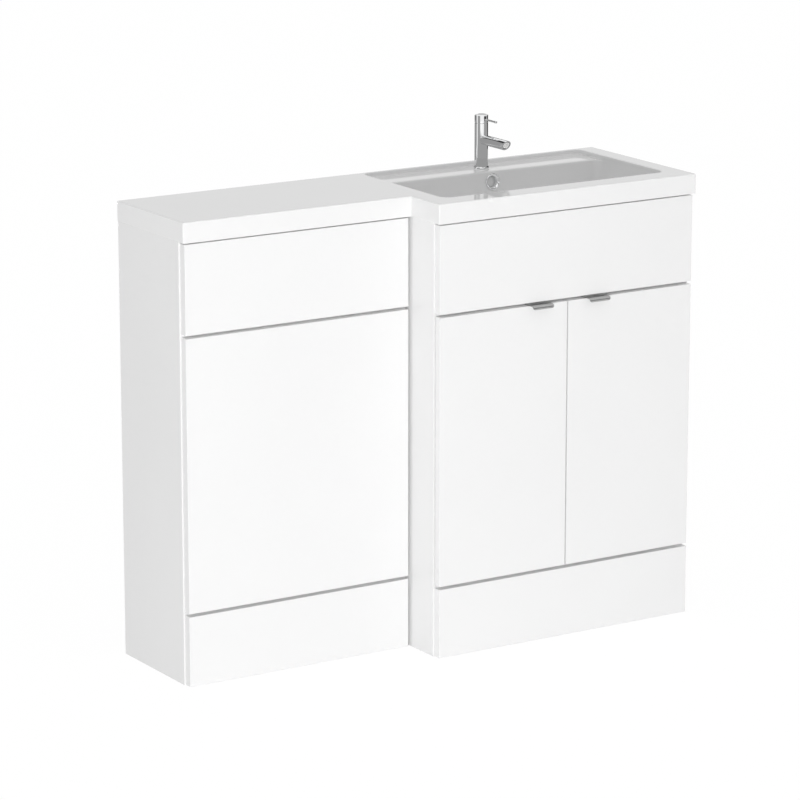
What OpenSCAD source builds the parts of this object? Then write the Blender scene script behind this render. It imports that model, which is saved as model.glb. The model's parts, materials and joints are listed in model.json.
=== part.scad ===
// Toilet and basin combination unit: a slim unit that hides the toilet's pipes
// beside a deeper basin unit with two doors, under one L-shaped moulded top.
// The origin is on the floor, at the middle of the whole object's width and depth.
// X runs to the right, Y to the wall and Z up.

/* [Cabinets] */
// Width of the toilet unit
wc_w = 500; // [400:1:700]
// Width of the basin unit
vanity_w = 600; // [560:1:900]
// Height of both cabinets under the top
cab_h = 864; // [760:1:1000]
// Thickness of the sides, the bottom and the shelf
board_t = 18; // [15:1:22]
// Thickness of the upright front rails
front_rail_t = 15; // [12:1:15]
// Height of the rails behind the gaps
gap_rail_h = 40; // [30:1:60]
// Height of the top front rails
top_rail_h = 60; // [50:1:80]
// Height of the back rails
back_rail_h = 100; // [60:1:140]
// Distance from the top of the cabinets down to the shelf
shelf_drop = 446; // [400:1:520]
// Depth of the shelf
shelf_d = 250; // [150:1:255]

/* [Fronts] */
// Thickness of the fixed fronts
front_t = 18; // [16:1:22]
// Gap between a door's back and the cabinet
door_behind = 2; // [1.8:0.1:3]
// Height of the plinths
plinth_h = 139; // [80:1:180]
// Height of the upper fascias
fascia_h = 174; // [160:1:220]
// Gap between the fascias and the top
top_gap = 3; // [2:0.5:6]
// Gap between a fascia and the door or panel under it, and over the plinth
front_gap = 6; // [5.5:0.5:10]
// Gap between the two doors
door_gap = 3; // [2:0.5:5]
// Distance from a cabinet's side to the edge of its fronts
front_inset = 3; // [2:0.5:6]
// Gap between the toilet unit's fronts and the basin unit's side
wc_front_gap = 5; // [3:0.5:8]

/* [Handles] */
// Width of a handle
handle_w = 48; // [30:1:120]
// Thickness of the handle's plate
handle_t = 2; // [1.5:0.1:2.5]
// Distance that the handle stands out from the door
handle_reach = 15; // [12:1:30]
// Height of the handle's lip
handle_lip = 8; // [7:1:20]
// Distance from the middle of the doors to a handle
handle_off = 43; // [20:1:150]

/* [Top] */
// Depth of the top over the basin unit
top_d = 360; // [300:1:480]
// Depth of the top over the toilet unit
top_wc_d = 260; // [216:1:320]
// Height of the top's edge
top_t = 40; // [32:1:60]
// Thickness of the top's deck
deck_t = 12; // [8:1:15]
// Width of the solid band under the deck's edge
band_w = 30; // [22:1:45]
// Distance that the top stands out past the cabinets' sides
top_over = 2; // [0:0.5:2]
// Distance from the top's front edge to the fronts' faces
front_setback = 4.5; // [1:0.5:12]

/* [Bowl] */
// Depth of the bowl under the rim
bowl_depth = 114; // [90:1:140]
// Gap between the bowl's shell and the cabinet's left side
bowl_gap_left = 16; // [5:1:40]
// Gap between the bowl's shell and the cabinet's right side
bowl_gap_right = 12; // [5:1:40]
// Gap between the bowl's shell and the front rail
bowl_gap_front = 4.5; // [3.5:0.5:30]
// Width of the rim behind the tap ledge
rim_back = 9; // [6:1:20]
// Depth of the tap ledge, front to back
ledge_d = 73; // [70:1:90]
// Distance of the tap ledge under the rim
ledge_drop = 9; // [4:1:14]
// Wall of the bowl
bowl_wall = 8; // [6:1:12]
// Distance that the bowl's walls lean in
bowl_draft = 8; // [2:1:15]
// Radius between the bowl's walls and its floor
bowl_r = 22; // [16:1:26]
// Radius of the rim's inner corners
corner_r = 20; // [8:1:30]
// Radius of the waste hole
waste_hole_r = 22; // [21.5:0.5:24]
// Radius of the overflow hole
overflow_r = 12.5; // [10:0.5:14]

/* [Tap] */
// Height of the tap above its ledge
tap_h = 108.5; // [95:0.5:160]
// Radius of the tap's body
tap_r = 13.5; // [13:0.5:16]
// Height of the cap with the lever
cap_h = 15.5; // [15:0.5:20]
// Gap between the body and the cap
cap_gap = 1; // [0.5:0.1:2]
// Height of the spout's axis above the ledge
spout_z = 59; // [50:1:60]
// Radius of the spout
spout_r = 10; // [9:0.5:11]
// Length of the spout from the tap's axis, on its axis
spout_len = 90; // [70:1:130]
// Length of the lever from the tap's axis
lever_len = 54; // [35:1:80]
// Radius of the lever
lever_r = 2; // [1.6:0.1:2.2]
// Distance from the top's back edge to the tap's axis
tap_back = 42; // [40:1:44]

/* [Joints] */
// Angle to which a door opens
door_open = 95; // [80:1:95]
// Distance that the waste plug stands open
plug_lift = 8; // [4:1:10]
// Length that a fascia stud sits in its socket
stud_grip = 12; // [8:1:14]

/* [Hidden] */

LEFT = -1;
RIGHT = 1;
CUT = 1;      // extra length of a cut past the face that it leaves
FINE = 64;    // facets shown on a large round
SMALL = 32;   // facets shown on a small round

// Whole object
top_w = wc_w + vanity_w + 2 * top_over;
overall_d = top_d - front_setback + handle_reach;
wall_y = overall_d / 2;
top_x0 = -top_w / 2;
top_x1 = top_w / 2;
wc_x0 = top_x0 + top_over;
wc_x1 = wc_x0 + wc_w;
van_x0 = wc_x1;
van_x1 = van_x0 + vanity_w;
corner_x = van_x0 - top_over;

// Depths: the fronts' faces and the carcasses' front edges
van_face_y = wall_y - top_d + front_setback;
van_front_y = van_face_y + front_t;
wc_face_y = wall_y - top_wc_d + front_setback;
wc_front_y = wc_face_y + front_t;

// Heights of the fronts
door_z0 = plinth_h + front_gap;
fascia_z1 = cab_h - top_gap;
fascia_z0 = fascia_z1 - fascia_h;
door_z1 = fascia_z0 - front_gap;
mid_rail_z = fascia_z0 - front_gap / 2 - gap_rail_h / 2;
low_rail_z = plinth_h + front_gap / 2 - gap_rail_h / 2;
wc_low_rail_h = gap_rail_h * 1.5;
bottom_z = plinth_h + front_gap / 2 - board_t / 2;
van_low_rail_z = bottom_z - top_rail_h;
shelf_z = cab_h - shelf_drop - board_t;

// Fronts, side to side
wc_front_x0 = wc_x0 + front_inset;
wc_front_x1 = wc_x1 - wc_front_gap;
van_front_x0 = van_x0 + front_inset;
van_front_x1 = van_x1 - front_inset;
van_mid_x = (van_front_x0 + van_front_x1) / 2;
door_w = (van_front_x1 - van_front_x0 - door_gap) / 2;
door_t = front_t - door_behind;

// Bowl
rim_z = cab_h + top_t;
ledge_z = rim_z - ledge_drop;
floor_z = rim_z - bowl_depth;
bowl_x0 = van_x0 + board_t + bowl_gap_left + bowl_wall;
bowl_x1 = van_x1 - board_t - bowl_gap_right - bowl_wall;
bowl_w = bowl_x1 - bowl_x0;
bowl_y0 = van_front_y + front_rail_t + bowl_gap_front + bowl_wall;
ledge_y1 = wall_y - rim_back;
bowl_y1 = ledge_y1 - ledge_d;
bowl_mid_x = (bowl_x0 + bowl_x1) / 2;
bowl_mid_y = (bowl_y0 + bowl_y1) / 2;
bowl_fall = 5;        // the floor's fall to the waste
floor_t = 10;
waste_seat_r = 32;
waste_seat_z = floor_z - bowl_fall;
shell_z = waste_seat_z - floor_t;
back_band = 20;

// Overflow: a channel down the bowl's back and under its floor to the waste
channel_w = 40;
channel_d = 8;
channel_wall = 5;
channel_roof = 2;
channel_over = 1;
channel_lap = 0.5;
channel_z1 = shell_z - channel_roof;
channel_z0 = channel_z1 - channel_d;
duct_z = channel_z0 - channel_wall;
duct_x0 = bowl_mid_x - channel_w / 2 - channel_wall;
duct_w = channel_w + 2 * channel_wall;
duct_y1 = bowl_y1 + bowl_wall + channel_d + channel_wall;
duct_y0 = bowl_mid_y - waste_seat_r;
duct_lap = 8;
shell_lap = 5;
overflow_lap = 5;
spigot_r = waste_seat_r + 1;
spigot_lap = 2;
overflow_z = ledge_z - 21;
ring_t = 2.5;
ring_rim = 4;
ring_wall = 2;
ring_clear = 0.3;
ring_seat = 0.1;

// Lean of the bowl's walls, from the ledge down to the round at the floor
lean_run = bowl_draft + bowl_r;
lean_rise = ledge_z - floor_z - bowl_r;
bowl_lean = atan(lean_run / lean_rise) - asin(bowl_r / norm([lean_run, lean_rise]));
overflow_y = bowl_y1 - (ledge_z - overflow_z) * tan(bowl_lean);

// Tap
tap_x = bowl_mid_x;
tap_y = wall_y - tap_back;
cap_z = ledge_z + tap_h - cap_h;
body_top = cap_z - cap_gap;
foot_lip = 2.5;
foot_r = tap_r + foot_lip;
foot_h = 4.5;
foot_bevel = 1.5;
foot_top = 1;
foot_clear = 0.1;
shank_r = 12.5;
tap_hole_r = shank_r + 1;
shank_z = ledge_z - deck_t + 2;
cartridge_r = 10.3;
cartridge_h = 34;
cartridge_clear = 0.2;
cartridge_z = body_top - cartridge_h;
cartridge_low = 1;
spindle_lap = 1;
spindle_r = 3.5;
lever_z = cap_z + cap_h / 2;
lever_clear = 0.3;
lever_tip = 5;
lever_tip_lip = 0.5;
barrel_r = 3.8;
barrel_w = 8;
journal_r = 2;
pivot_clear = 0.05;
ear_t = 3;
cap_bore_r = tap_r - 2.5;
cap_roof = 2;
cap_slot_z0 = lever_z - lever_r - lever_clear;
cap_slot_z1 = cap_z + cap_h - cap_roof;
spout_axis_z = ledge_z + spout_z;
spout_bore_r = 8;
spout_stop = 16;
trim_w = 40;
trim_h = 30;
mitre = 30;
aerator_r = 7;
aerator_h = 7;
aerator_wall = 1.5;
aerator_low = 0.5;
aerator_deep = 2;
stud_r = 3;
stud_y = tap_y - 8;
stud_len = 45;
stud_deep = 10;
inlet_r = 4.45;
inlet_off = 6.2;
inlet_y = tap_y + 3;
inlet_deep = 8;
waterway_r = 3;
washer_r = 17.5;
washer_t = 3;
washer_z = ledge_z - deck_t - washer_t;
washer_slot = 22;
nut_h = 6;
nut_r = 5.8;

// Waste and trap
waste_x = bowl_mid_x;
waste_y = bowl_mid_y;
waste_r = 20.95;
waste_bore_r = 17;
waste_flange_r = 31;
waste_flange_t = 3;
waste_h = 84;
waste_z0 = waste_seat_z - waste_h;
plug_r = 29;
plug_t = 5;
plug_edge = 1.5;
plug_side = 1;
plug_dome_in = 4;
plug_dome = 1;
plug_seat = 0.3;
plug_z = waste_seat_z + waste_flange_t + plug_seat + plug_lift;
plug_stem_r = 4;
plug_stem_low = 2;
hub_r = 8;
hub_drop = 14;
hub_z1 = duct_z - hub_drop;
hub_h = 14;
spoke_w = 4;
slot_w = 18;
thread_clear = 0.2;
seal_t = 4;
waste_nut_h = 12;
pipe_r = 16;
pipe_wall = 2;
union_h = 20;
union_r = 26;
trap_r = 32;
trap_wall = 3;
trap_z1 = waste_z0 - 45;
trap_h = 50;
trap_z0 = trap_z1 - trap_h;
collar_h = 8;
cup_r = 27;
cup_lap = 10;
cup_z0 = trap_z0 - 60;
inlet_pipe_z = trap_z0 - 20;
outlet_z = trap_z1 - 22;
outlet_r = 20;
outlet_bore_r = 16.2;
outlet_len = 38;
outlet_nut_r = 26;
outlet_nut_h = 20;
outlet_end_y = waste_y + trap_r + outlet_len;

// Concealed hinge: u runs from the door's outer edge, v back from its face.
// The door turns about the pole, so that its back edge just clears the cabinet,
// and the link's pin is placed so that the link's tip meets the cup again
// when the door is fully open.
cup_centre = 20.5;
cup_deep = 11.5;
hinge_cup_r = 17.5;
cup_clear = 0.1;
cup_shell = 1;
wing_t = 1.2;
wing_u0 = cup_centre - 6;
wing_u1 = cup_centre + 14.5;
wing_half = 27;
peg_u = cup_centre + 9.5;
peg_z = 22.5;
peg_deep = 11;
peg_r = 4;
pole_u = 5.5;
pole_v = door_t - 9.5;
tip_u = 8;
tip_v = door_t - 2;
tip_r = 1.6;
tip_open_u = pole_u + (tip_u - pole_u) * cos(door_open) + (tip_v - pole_v) * sin(door_open);
tip_open_v = pole_v - (tip_u - pole_u) * sin(door_open) + (tip_v - pole_v) * cos(door_open);
tip_chord = norm([tip_open_u - tip_u, tip_open_v - tip_v]);
link_reach = 18;
link_pin_u = (tip_u + tip_open_u) / 2 + link_reach * (tip_v - tip_open_v) / tip_chord;
link_pin_v = (tip_v + tip_open_v) / 2 + link_reach * (tip_open_u - tip_u) / tip_chord;
link_t = 1.2;
link_w = 8;
link_clear = 0.3;
pin_r = 1.5;
eye_r = 3;
arm_wall = 1.5;
arm_half = link_w / 2 + link_clear + arm_wall;
plate_u0 = board_t - front_inset;
plate_t = 3;
plate_u1 = plate_u0 + plate_t;
plate_v0 = front_t + 25;
plate_v1 = front_t + 70;
plate_half = 24;
plate_wing = 8;
plate_screw_v = front_t + 37;
plate_screw_z = 16;
plate_screw_deep = 11;
plate_head_t = 2;
arm_u1 = link_pin_u + eye_r + 0.5;
arm_v1 = plate_v1 + 8;
arm_roof_v = front_t + 5;
hinge_zs = [door_z0 + 90, door_z1 - 90];

// Handles, in the same distances
handle_u1 = door_w + door_gap / 2 - handle_off;
handle_u0 = handle_u1 - handle_w;
handle_bend_r = 3;
lip_r = 4;
handle_screw = 18;
handle_screw_r = 1.75;

// Fixings
dowel_r = 4;
dowel_len = 30;
dowel_in_side = 12;
dowel_edge = 12;
screw_r = 2;
screw_head_r = 4;
screw_head_t = 2.5;
screw_grip = 13;
bolt_r = 4;
bolt_head_r = 7.5;
bolt_head_t = 1.5;
bolt_ys = [wc_front_y + 50, wall_y - 60];
bolt_zs = [220, cab_h - 150];
shelf_pin_r = 2.5;
shelf_pin_in = 9;
shelf_pin_out = 8;
shelf_clear = 0.5;
buffer_r = 4;
buffer_x = 14;
wall_hole_r = 3.25;
wall_hole_off = 160;
socket_r = 6;
stud_pin_r = 4;
stud_clear = 0.3;
stud_in_front = 9;

// Rails of each unit: [front or back y, thickness, lowest z, height]
wc_rails = [
    [wc_front_y, front_rail_t, cab_h - top_rail_h, top_rail_h],
    [wall_y - board_t, board_t, cab_h - back_rail_h, back_rail_h],
    [wc_front_y, front_rail_t, mid_rail_z, gap_rail_h],
    [wc_front_y, front_rail_t, low_rail_z, wc_low_rail_h]];
van_rails = [
    [van_front_y, front_rail_t, cab_h - top_rail_h, top_rail_h],
    [van_front_y, front_rail_t, mid_rail_z, gap_rail_h],
    [van_front_y, front_rail_t, van_low_rail_z, top_rail_h],
    [wall_y - board_t, board_t, cab_h - back_rail_h, back_rail_h]];

// Heights of the dowels of a rail, and places of the dowels of the bottom
function dowel_zs(rail) = [rail[2] + dowel_edge, rail[2] + rail[3] - dowel_edge];
bottom_dowel_ys = [van_front_y + 40, (van_front_y + wall_y) / 2, wall_y - 40];

// Screws that hold the fixed fronts, and the removable fascia's studs:
// each [x, the cabinet's front y, z]
screw_inset = 100;
stud_inset = 47;
edge_off = 8;         // from a front's edge to the middle of a screw or stud
wc_screws = [
    for (x = [wc_front_x0 + screw_inset, wc_front_x1 - screw_inset],
            z = [door_z1 - edge_off, door_z0 + edge_off, plinth_h - 1.5 * edge_off])
        [x, wc_front_y, z]];
van_screws = [
    for (x = [van_front_x0 + screw_inset, van_front_x1 - screw_inset],
            z = [cab_h - top_rail_h / 2, fascia_z0 + edge_off, van_low_rail_z + top_rail_h / 2])
        [x, van_front_y, z]];
stud_places = [
    for (x = [wc_front_x0 + stud_inset, wc_front_x1 - stud_inset],
            z = [cab_h - top_rail_h / 2, fascia_z0 + edge_off])
        [x, wc_front_y, z]];
shelf_y0 = van_front_y + front_rail_t;
shelf_pin_ys = [shelf_y0 + 40, shelf_y0 + shelf_d - 40];

GLOSS = [0.97, 0.97, 0.97];
TOP_WHITE = [0.9, 0.9, 0.9];
CHROME = [0.72, 0.73, 0.75];
STEEL = [0.62, 0.62, 0.62];
BEECH = [0.8, 0.66, 0.45];
PLASTIC = [0.93, 0.93, 0.92];
RUBBER = [0.15, 0.15, 0.15];
BRASS = [0.75, 0.6, 0.3];

// ---- shared shapes ----

module slab(x0, x1, y0, y1, z0, z1) {
    translate([x0, y0, z0]) cube([x1 - x0, y1 - y0, z1 - z0]);
}

module along_x(x0, x1, y, z, r) {
    translate([x0, y, z]) rotate([0, 90, 0]) cylinder(r = r, h = x1 - x0, $fn = SMALL);
}

module along_y(x, y0, y1, z, r) {
    translate([x, y1, z]) rotate([90, 0, 0]) cylinder(r = r, h = y1 - y0, $fn = SMALL);
}

module along_z(x, y, z0, z1, r) {
    translate([x, y, z0]) cylinder(r = r, h = z1 - z0, $fn = FINE);
}

module rounded_rect(w, d, r) {
    translate([r, 0]) square([w - 2 * r, d]);
    translate([0, r]) square([w, d - 2 * r]);
    for (x = [r, w - r], y = [r, d - r]) translate([x, y]) circle(r, $fn = SMALL);
}

// ---- fixings, drawn as solids and reused as holes ----

module dowels_of(rails, x0, x1) {
    for (rail = rails, z = dowel_zs(rail)) {
        y = rail[0] + rail[1] / 2;
        along_x(x0 + board_t - dowel_in_side, x0 + board_t - dowel_in_side + dowel_len, y, z, dowel_r);
        along_x(x1 - board_t + dowel_in_side - dowel_len, x1 - board_t + dowel_in_side, y, z, dowel_r);
    }
}

module wc_dowels() {
    dowels_of(wc_rails, wc_x0, wc_x1);
}

module van_dowels() {
    dowels_of(van_rails, van_x0, van_x1);
    for (y = bottom_dowel_ys) {
        along_x(van_x0 + board_t - dowel_in_side, van_x0 + board_t - dowel_in_side + dowel_len,
            y, bottom_z + board_t / 2, dowel_r);
        along_x(van_x1 - board_t + dowel_in_side - dowel_len, van_x1 - board_t + dowel_in_side,
            y, bottom_z + board_t / 2, dowel_r);
    }
}

module front_screw_set(places) {
    for (p = places) {
        along_y(p[0], p[1] - screw_grip, p[1] + front_rail_t, p[2], screw_r);
        along_y(p[0], p[1] + front_rail_t, p[1] + front_rail_t + screw_head_t, p[2], screw_head_r);
    }
}

module bolt_shanks() {
    for (y = bolt_ys, z = bolt_zs) along_x(wc_x1 - board_t, van_x0 + board_t, y, z, bolt_r);
}

module fascia_pin_set(r, y_in, y_out) {
    for (p = stud_places) along_y(p[0], p[1] - y_out, p[1] + y_in, p[2], r);
}

module shelf_pin_set() {
    left_x = van_x0 + board_t;
    right_x = van_x1 - board_t;
    z = shelf_z - shelf_pin_r;
    for (y = shelf_pin_ys) {
        along_x(left_x - shelf_pin_in, left_x + shelf_pin_out, y, z, shelf_pin_r);
        along_x(right_x - shelf_pin_out, right_x + shelf_pin_in, y, z, shelf_pin_r);
    }
}

module wall_holes(mid_x) {
    for (s = [LEFT, RIGHT])
        along_y(mid_x + s * wall_hole_off, wall_y - board_t - CUT, wall_y + CUT,
            cab_h - back_rail_h / 2, wall_hole_r);
}

// ---- boards ----

module side_board(x0, front_y) {
    slab(x0, x0 + board_t, front_y, wall_y, 0, cab_h);
}

module rail_board(rail, x0, x1) {
    slab(x0 + board_t, x1 - board_t, rail[0], rail[0] + rail[1], rail[2], rail[2] + rail[3]);
}

module wc_rail(i) {
    color(GLOSS) difference() {
        rail_board(wc_rails[i], wc_x0, wc_x1);
        wc_dowels();
        front_screw_set(wc_screws);
        fascia_pin_set(socket_r, stud_grip + 1, 0);
        if (i == 1) wall_holes((wc_x0 + wc_x1) / 2);
    }
}

module vanity_rail(i) {
    color(GLOSS) difference() {
        rail_board(van_rails[i], van_x0, van_x1);
        van_dowels();
        front_screw_set(van_screws);
        if (i == 3) wall_holes((van_x0 + van_x1) / 2);
    }
}

module front_board(x0, x1, face_y, z0, z1) {
    slab(x0, x1, face_y, face_y + front_t, z0, z1);
}

module wc_side_left() {
    color(GLOSS) difference() {
        side_board(wc_x0, wc_front_y);
        wc_dowels();
    }
}

module wc_side_right() {
    color(GLOSS) difference() {
        side_board(wc_x1 - board_t, wc_front_y);
        wc_dowels();
        bolt_shanks();
    }
}

module wc_fascia() {
    color(GLOSS) difference() {
        front_board(wc_front_x0, wc_front_x1, wc_face_y, fascia_z0, fascia_z1);
        fascia_pin_set(stud_pin_r, 0, stud_in_front);
    }
}

module wc_panel() {
    color(GLOSS) difference() {
        front_board(wc_front_x0, wc_front_x1, wc_face_y, door_z0, door_z1);
        front_screw_set(wc_screws);
    }
}

module wc_plinth() {
    color(GLOSS) difference() {
        front_board(wc_front_x0, wc_front_x1, wc_face_y, 0, plinth_h);
        front_screw_set(wc_screws);
    }
}

module wc_fascia_studs() {
    color(PLASTIC) fascia_pin_set(stud_pin_r, stud_grip, stud_in_front);
}

module wc_fascia_sockets() {
    color(PLASTIC) difference() {
        fascia_pin_set(socket_r, stud_grip + 1, 0);
        fascia_pin_set(stud_pin_r + stud_clear, stud_grip + 1 + CUT, CUT);
    }
}

module vanity_side(x0) {
    color(GLOSS) difference() {
        side_board(x0, van_front_y);
        van_dowels();
        bolt_shanks();
        shelf_pin_set();
        plate_screws_of(LEFT);
        plate_screws_of(RIGHT);
    }
}

module vanity_bottom() {
    color(GLOSS) difference() {
        slab(van_x0 + board_t, van_x1 - board_t, van_front_y, wall_y, bottom_z, bottom_z + board_t);
        van_dowels();
    }
}

module vanity_fascia() {
    color(GLOSS) difference() {
        front_board(van_front_x0, van_front_x1, van_face_y, fascia_z0, fascia_z1);
        front_screw_set(van_screws);
    }
}

module vanity_plinth() {
    color(GLOSS) difference() {
        front_board(van_front_x0, van_front_x1, van_face_y, 0, plinth_h);
        front_screw_set(van_screws);
    }
}

module shelf() {
    color(GLOSS)
        slab(van_x0 + board_t + shelf_clear, van_x1 - board_t - shelf_clear,
            shelf_y0, shelf_y0 + shelf_d, shelf_z, shelf_z + board_t);
}

module shelf_pins() {
    color(STEEL) shelf_pin_set();
}

// Small pads that the closed doors rest on
module door_buffers() {
    color(PLASTIC) for (s = [LEFT, RIGHT])
        along_y(van_mid_x + s * buffer_x, van_front_y - door_behind, van_front_y,
            door_z1 - edge_off, buffer_r);
}

module carcass_dowels() {
    color(BEECH) {
        wc_dowels();
        van_dowels();
    }
}

module front_screws() {
    color(STEEL) {
        front_screw_set(wc_screws);
        front_screw_set(van_screws);
    }
}

module cabinet_bolts() {
    color(STEEL) {
        bolt_shanks();
        for (y = bolt_ys, z = bolt_zs) {
            along_x(wc_x1 - board_t - bolt_head_t, wc_x1 - board_t, y, z, bolt_head_r);
            along_x(van_x0 + board_t, van_x0 + board_t + bolt_head_t, y, z, bolt_head_r);
        }
    }
}

// ---- doors, handles and hinges ----

// Puts a shape drawn from a door's outer edge and face at the left or right door
module at_door(side) {
    if (side == LEFT) translate([van_front_x0, van_face_y, 0]) children();
    else translate([van_front_x1, van_face_y, 0]) mirror([1, 0, 0]) children();
}

module at_hinges() {
    for (z = hinge_zs) translate([0, 0, z]) children();
}

module cup_disc(r, v0, v1) {
    along_y(cup_centre, v0, v1, 0, r);
}

module pegs(r) {
    for (z = [-peg_z, peg_z]) along_y(peg_u, door_t - peg_deep, door_t, z, r);
}

module handle_screw_set() {
    for (side = [LEFT, RIGHT]) {
        u = handle_u1 - handle_w / 2 + side * handle_w / 3;
        along_z(u, door_t / 2, door_z1 - handle_screw, door_z1 + handle_t, handle_screw_r);
        along_z(u, door_t / 2, door_z1 + handle_t / 2, door_z1 + handle_t, 2 * handle_screw_r);
    }
}

module door_board(side) {
    color(GLOSS) at_door(side) difference() {
        slab(0, door_w, 0, door_t, door_z0, door_z1);
        at_hinges() {
            cup_disc(hinge_cup_r + cup_clear, door_t - cup_deep, door_t + CUT);
            pegs(peg_r);
        }
        handle_screw_set();
    }
}

module door_left() { door_board(LEFT); }
module door_right() { door_board(RIGHT); }

// Bent plate: a flat leg on the door's top edge and a lip with rounded corners
module handle(side) {
    top_z = door_z1 + handle_t;
    lip_z = top_z - handle_lip;
    lip_v1 = handle_t - handle_reach;
    bend_v = handle_bend_r - handle_reach;
    bend_z = top_z - handle_bend_r;
    color(STEEL) at_door(side) difference() {
        union() {
            slab(handle_u0, handle_u1, bend_v, door_t, door_z1, top_z);
            slab(handle_u0, handle_u1, -handle_reach, lip_v1, lip_z + lip_r, bend_z);
            slab(handle_u0 + lip_r, handle_u1 - lip_r, -handle_reach, lip_v1, lip_z, lip_z + lip_r);
            for (u = [handle_u0 + lip_r, handle_u1 - lip_r])
                along_y(u, -handle_reach, lip_v1, lip_z + lip_r, lip_r);
            intersection() {
                difference() {
                    along_x(handle_u0, handle_u1, bend_v, bend_z, handle_bend_r);
                    along_x(handle_u0 - CUT, handle_u1 + CUT, bend_v, bend_z, handle_bend_r - handle_t);
                }
                slab(handle_u0, handle_u1, -handle_reach, bend_v, bend_z, top_z);
            }
        }
        handle_screw_set();
    }
}

module handle_left() { handle(LEFT); }
module handle_right() { handle(RIGHT); }

module handle_screws_left() {
    color(STEEL) at_door(LEFT) handle_screw_set();
}

module handle_screws_right() {
    color(STEEL) at_door(RIGHT) handle_screw_set();
}

module hinge_cups(side) {
    color(STEEL) at_door(side) at_hinges() {
        difference() {
            union() {
                cup_disc(hinge_cup_r, door_t - cup_deep, door_t);
                slab(wing_u0, wing_u1, door_t, door_t + wing_t, -wing_half, wing_half);
            }
            cup_disc(hinge_cup_r - cup_shell, door_t - cup_deep + cup_shell, door_t + wing_t + CUT);
        }
        pegs(peg_r);
    }
}

module hinge_cups_left() { hinge_cups(LEFT); }
module hinge_cups_right() { hinge_cups(RIGHT); }

module link_pin(r, half) {
    along_z(link_pin_u, link_pin_v, -half, half, r);
}

module hinge_links(side) {
    direction = atan2(tip_v - link_pin_v, tip_u - link_pin_u);
    bar_start = (pin_r + eye_r) / 2;
    bar_end = norm([tip_u - link_pin_u, tip_v - link_pin_v]) - tip_r / 3;
    half = link_w / 2;
    color(STEEL) at_door(side) at_hinges() difference() {
        union() {
            link_pin(eye_r, half);
            along_z(tip_u, tip_v, -half, half, tip_r);
            translate([link_pin_u, link_pin_v, -half]) rotate([0, 0, direction])
                translate([bar_start, -link_t / 2, 0]) cube([bar_end - bar_start, link_t, link_w]);
        }
        link_pin(pin_r + pivot_clear, half + CUT);
    }
}

module hinge_links_left() { hinge_links(LEFT); }
module hinge_links_right() { hinge_links(RIGHT); }

// Channel that holds the link's pin between its two walls
module hinge_arm(side) {
    at_door(side) at_hinges() for (z = [-arm_half, arm_half - arm_wall]) difference() {
        union() {
            slab(plate_u1, arm_u1, link_pin_v, arm_v1, z, z + arm_wall);
            translate([link_pin_u, link_pin_v, z])
                cylinder(r = eye_r + 0.5, h = arm_wall, $fn = SMALL);
        }
        link_pin(pin_r, arm_half + CUT);
    }
    at_door(side) at_hinges()
        slab(arm_u1 - arm_wall, arm_u1, arm_roof_v, arm_v1, -arm_half, arm_half);
}

module hinge_arms() {
    color(STEEL) {
        hinge_arm(LEFT);
        hinge_arm(RIGHT);
    }
}

module hinge_pins() {
    color(STEEL) {
        at_door(LEFT) at_hinges() link_pin(pin_r, arm_half);
        at_door(RIGHT) at_hinges() link_pin(pin_r, arm_half);
    }
}

module plate_screws_of(side) {
    at_door(side) at_hinges() for (z = [-plate_screw_z, plate_screw_z])
        along_x(plate_u0 - plate_screw_deep, plate_u1, plate_screw_v, z, screw_r);
}

module hinge_plate(side) {
    difference() {
        at_door(side) at_hinges() {
            slab(plate_u0, plate_u1, plate_v0, plate_v1, -arm_half - 1, arm_half + 1);
            slab(plate_u0, plate_u1, plate_screw_v - plate_wing, plate_screw_v + plate_wing,
                -plate_half, plate_half);
        }
        plate_screws_of(side);
    }
}

module hinge_plates() {
    color(STEEL) {
        hinge_plate(LEFT);
        hinge_plate(RIGHT);
    }
}

module hinge_plate_screws() {
    color(STEEL) for (side = [LEFT, RIGHT]) {
        plate_screws_of(side);
        at_door(side) at_hinges() for (z = [-plate_screw_z, plate_screw_z])
            along_x(plate_u1, plate_u1 + plate_head_t, plate_screw_v, z, screw_head_r);
    }
}

// ---- top with its bowl ----

module top_outline() {
    polygon([
        [top_x0, wall_y], [top_x1, wall_y], [top_x1, wall_y - top_d],
        [corner_x, wall_y - top_d], [corner_x, wall_y - top_wc_d], [top_x0, wall_y - top_wc_d]]);
}

// The bowl's inside, or its outside when grown by the wall
module bowl_body(grow, top_z, low_z, seat_z) {
    w = bowl_w + 2 * grow;
    d = bowl_y1 - bowl_y0 + 2 * grow;
    cove = bowl_r + grow;
    thin = 0.01;
    hull() {
        translate([bowl_x0 - grow, bowl_y0 - grow, top_z])
            linear_extrude(thin) rounded_rect(w, d, corner_r + grow);
        for (x = [bowl_x0 + bowl_draft + bowl_r, bowl_x1 - bowl_draft - bowl_r],
                y = [bowl_y0 + bowl_draft + bowl_r, bowl_y1 - bowl_draft - bowl_r])
            translate([x, y, low_z + cove]) sphere(cove, $fn = 24);
        translate([waste_x, waste_y, seat_z]) cylinder(r = waste_seat_r, h = thin, $fn = SMALL);
    }
}

// Origin at the middle of the overflow on the leaning wall, Y into the wall
module at_overflow() {
    translate([bowl_mid_x, overflow_y, overflow_z]) rotate([-bowl_lean, 0, 0]) children();
}

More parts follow.
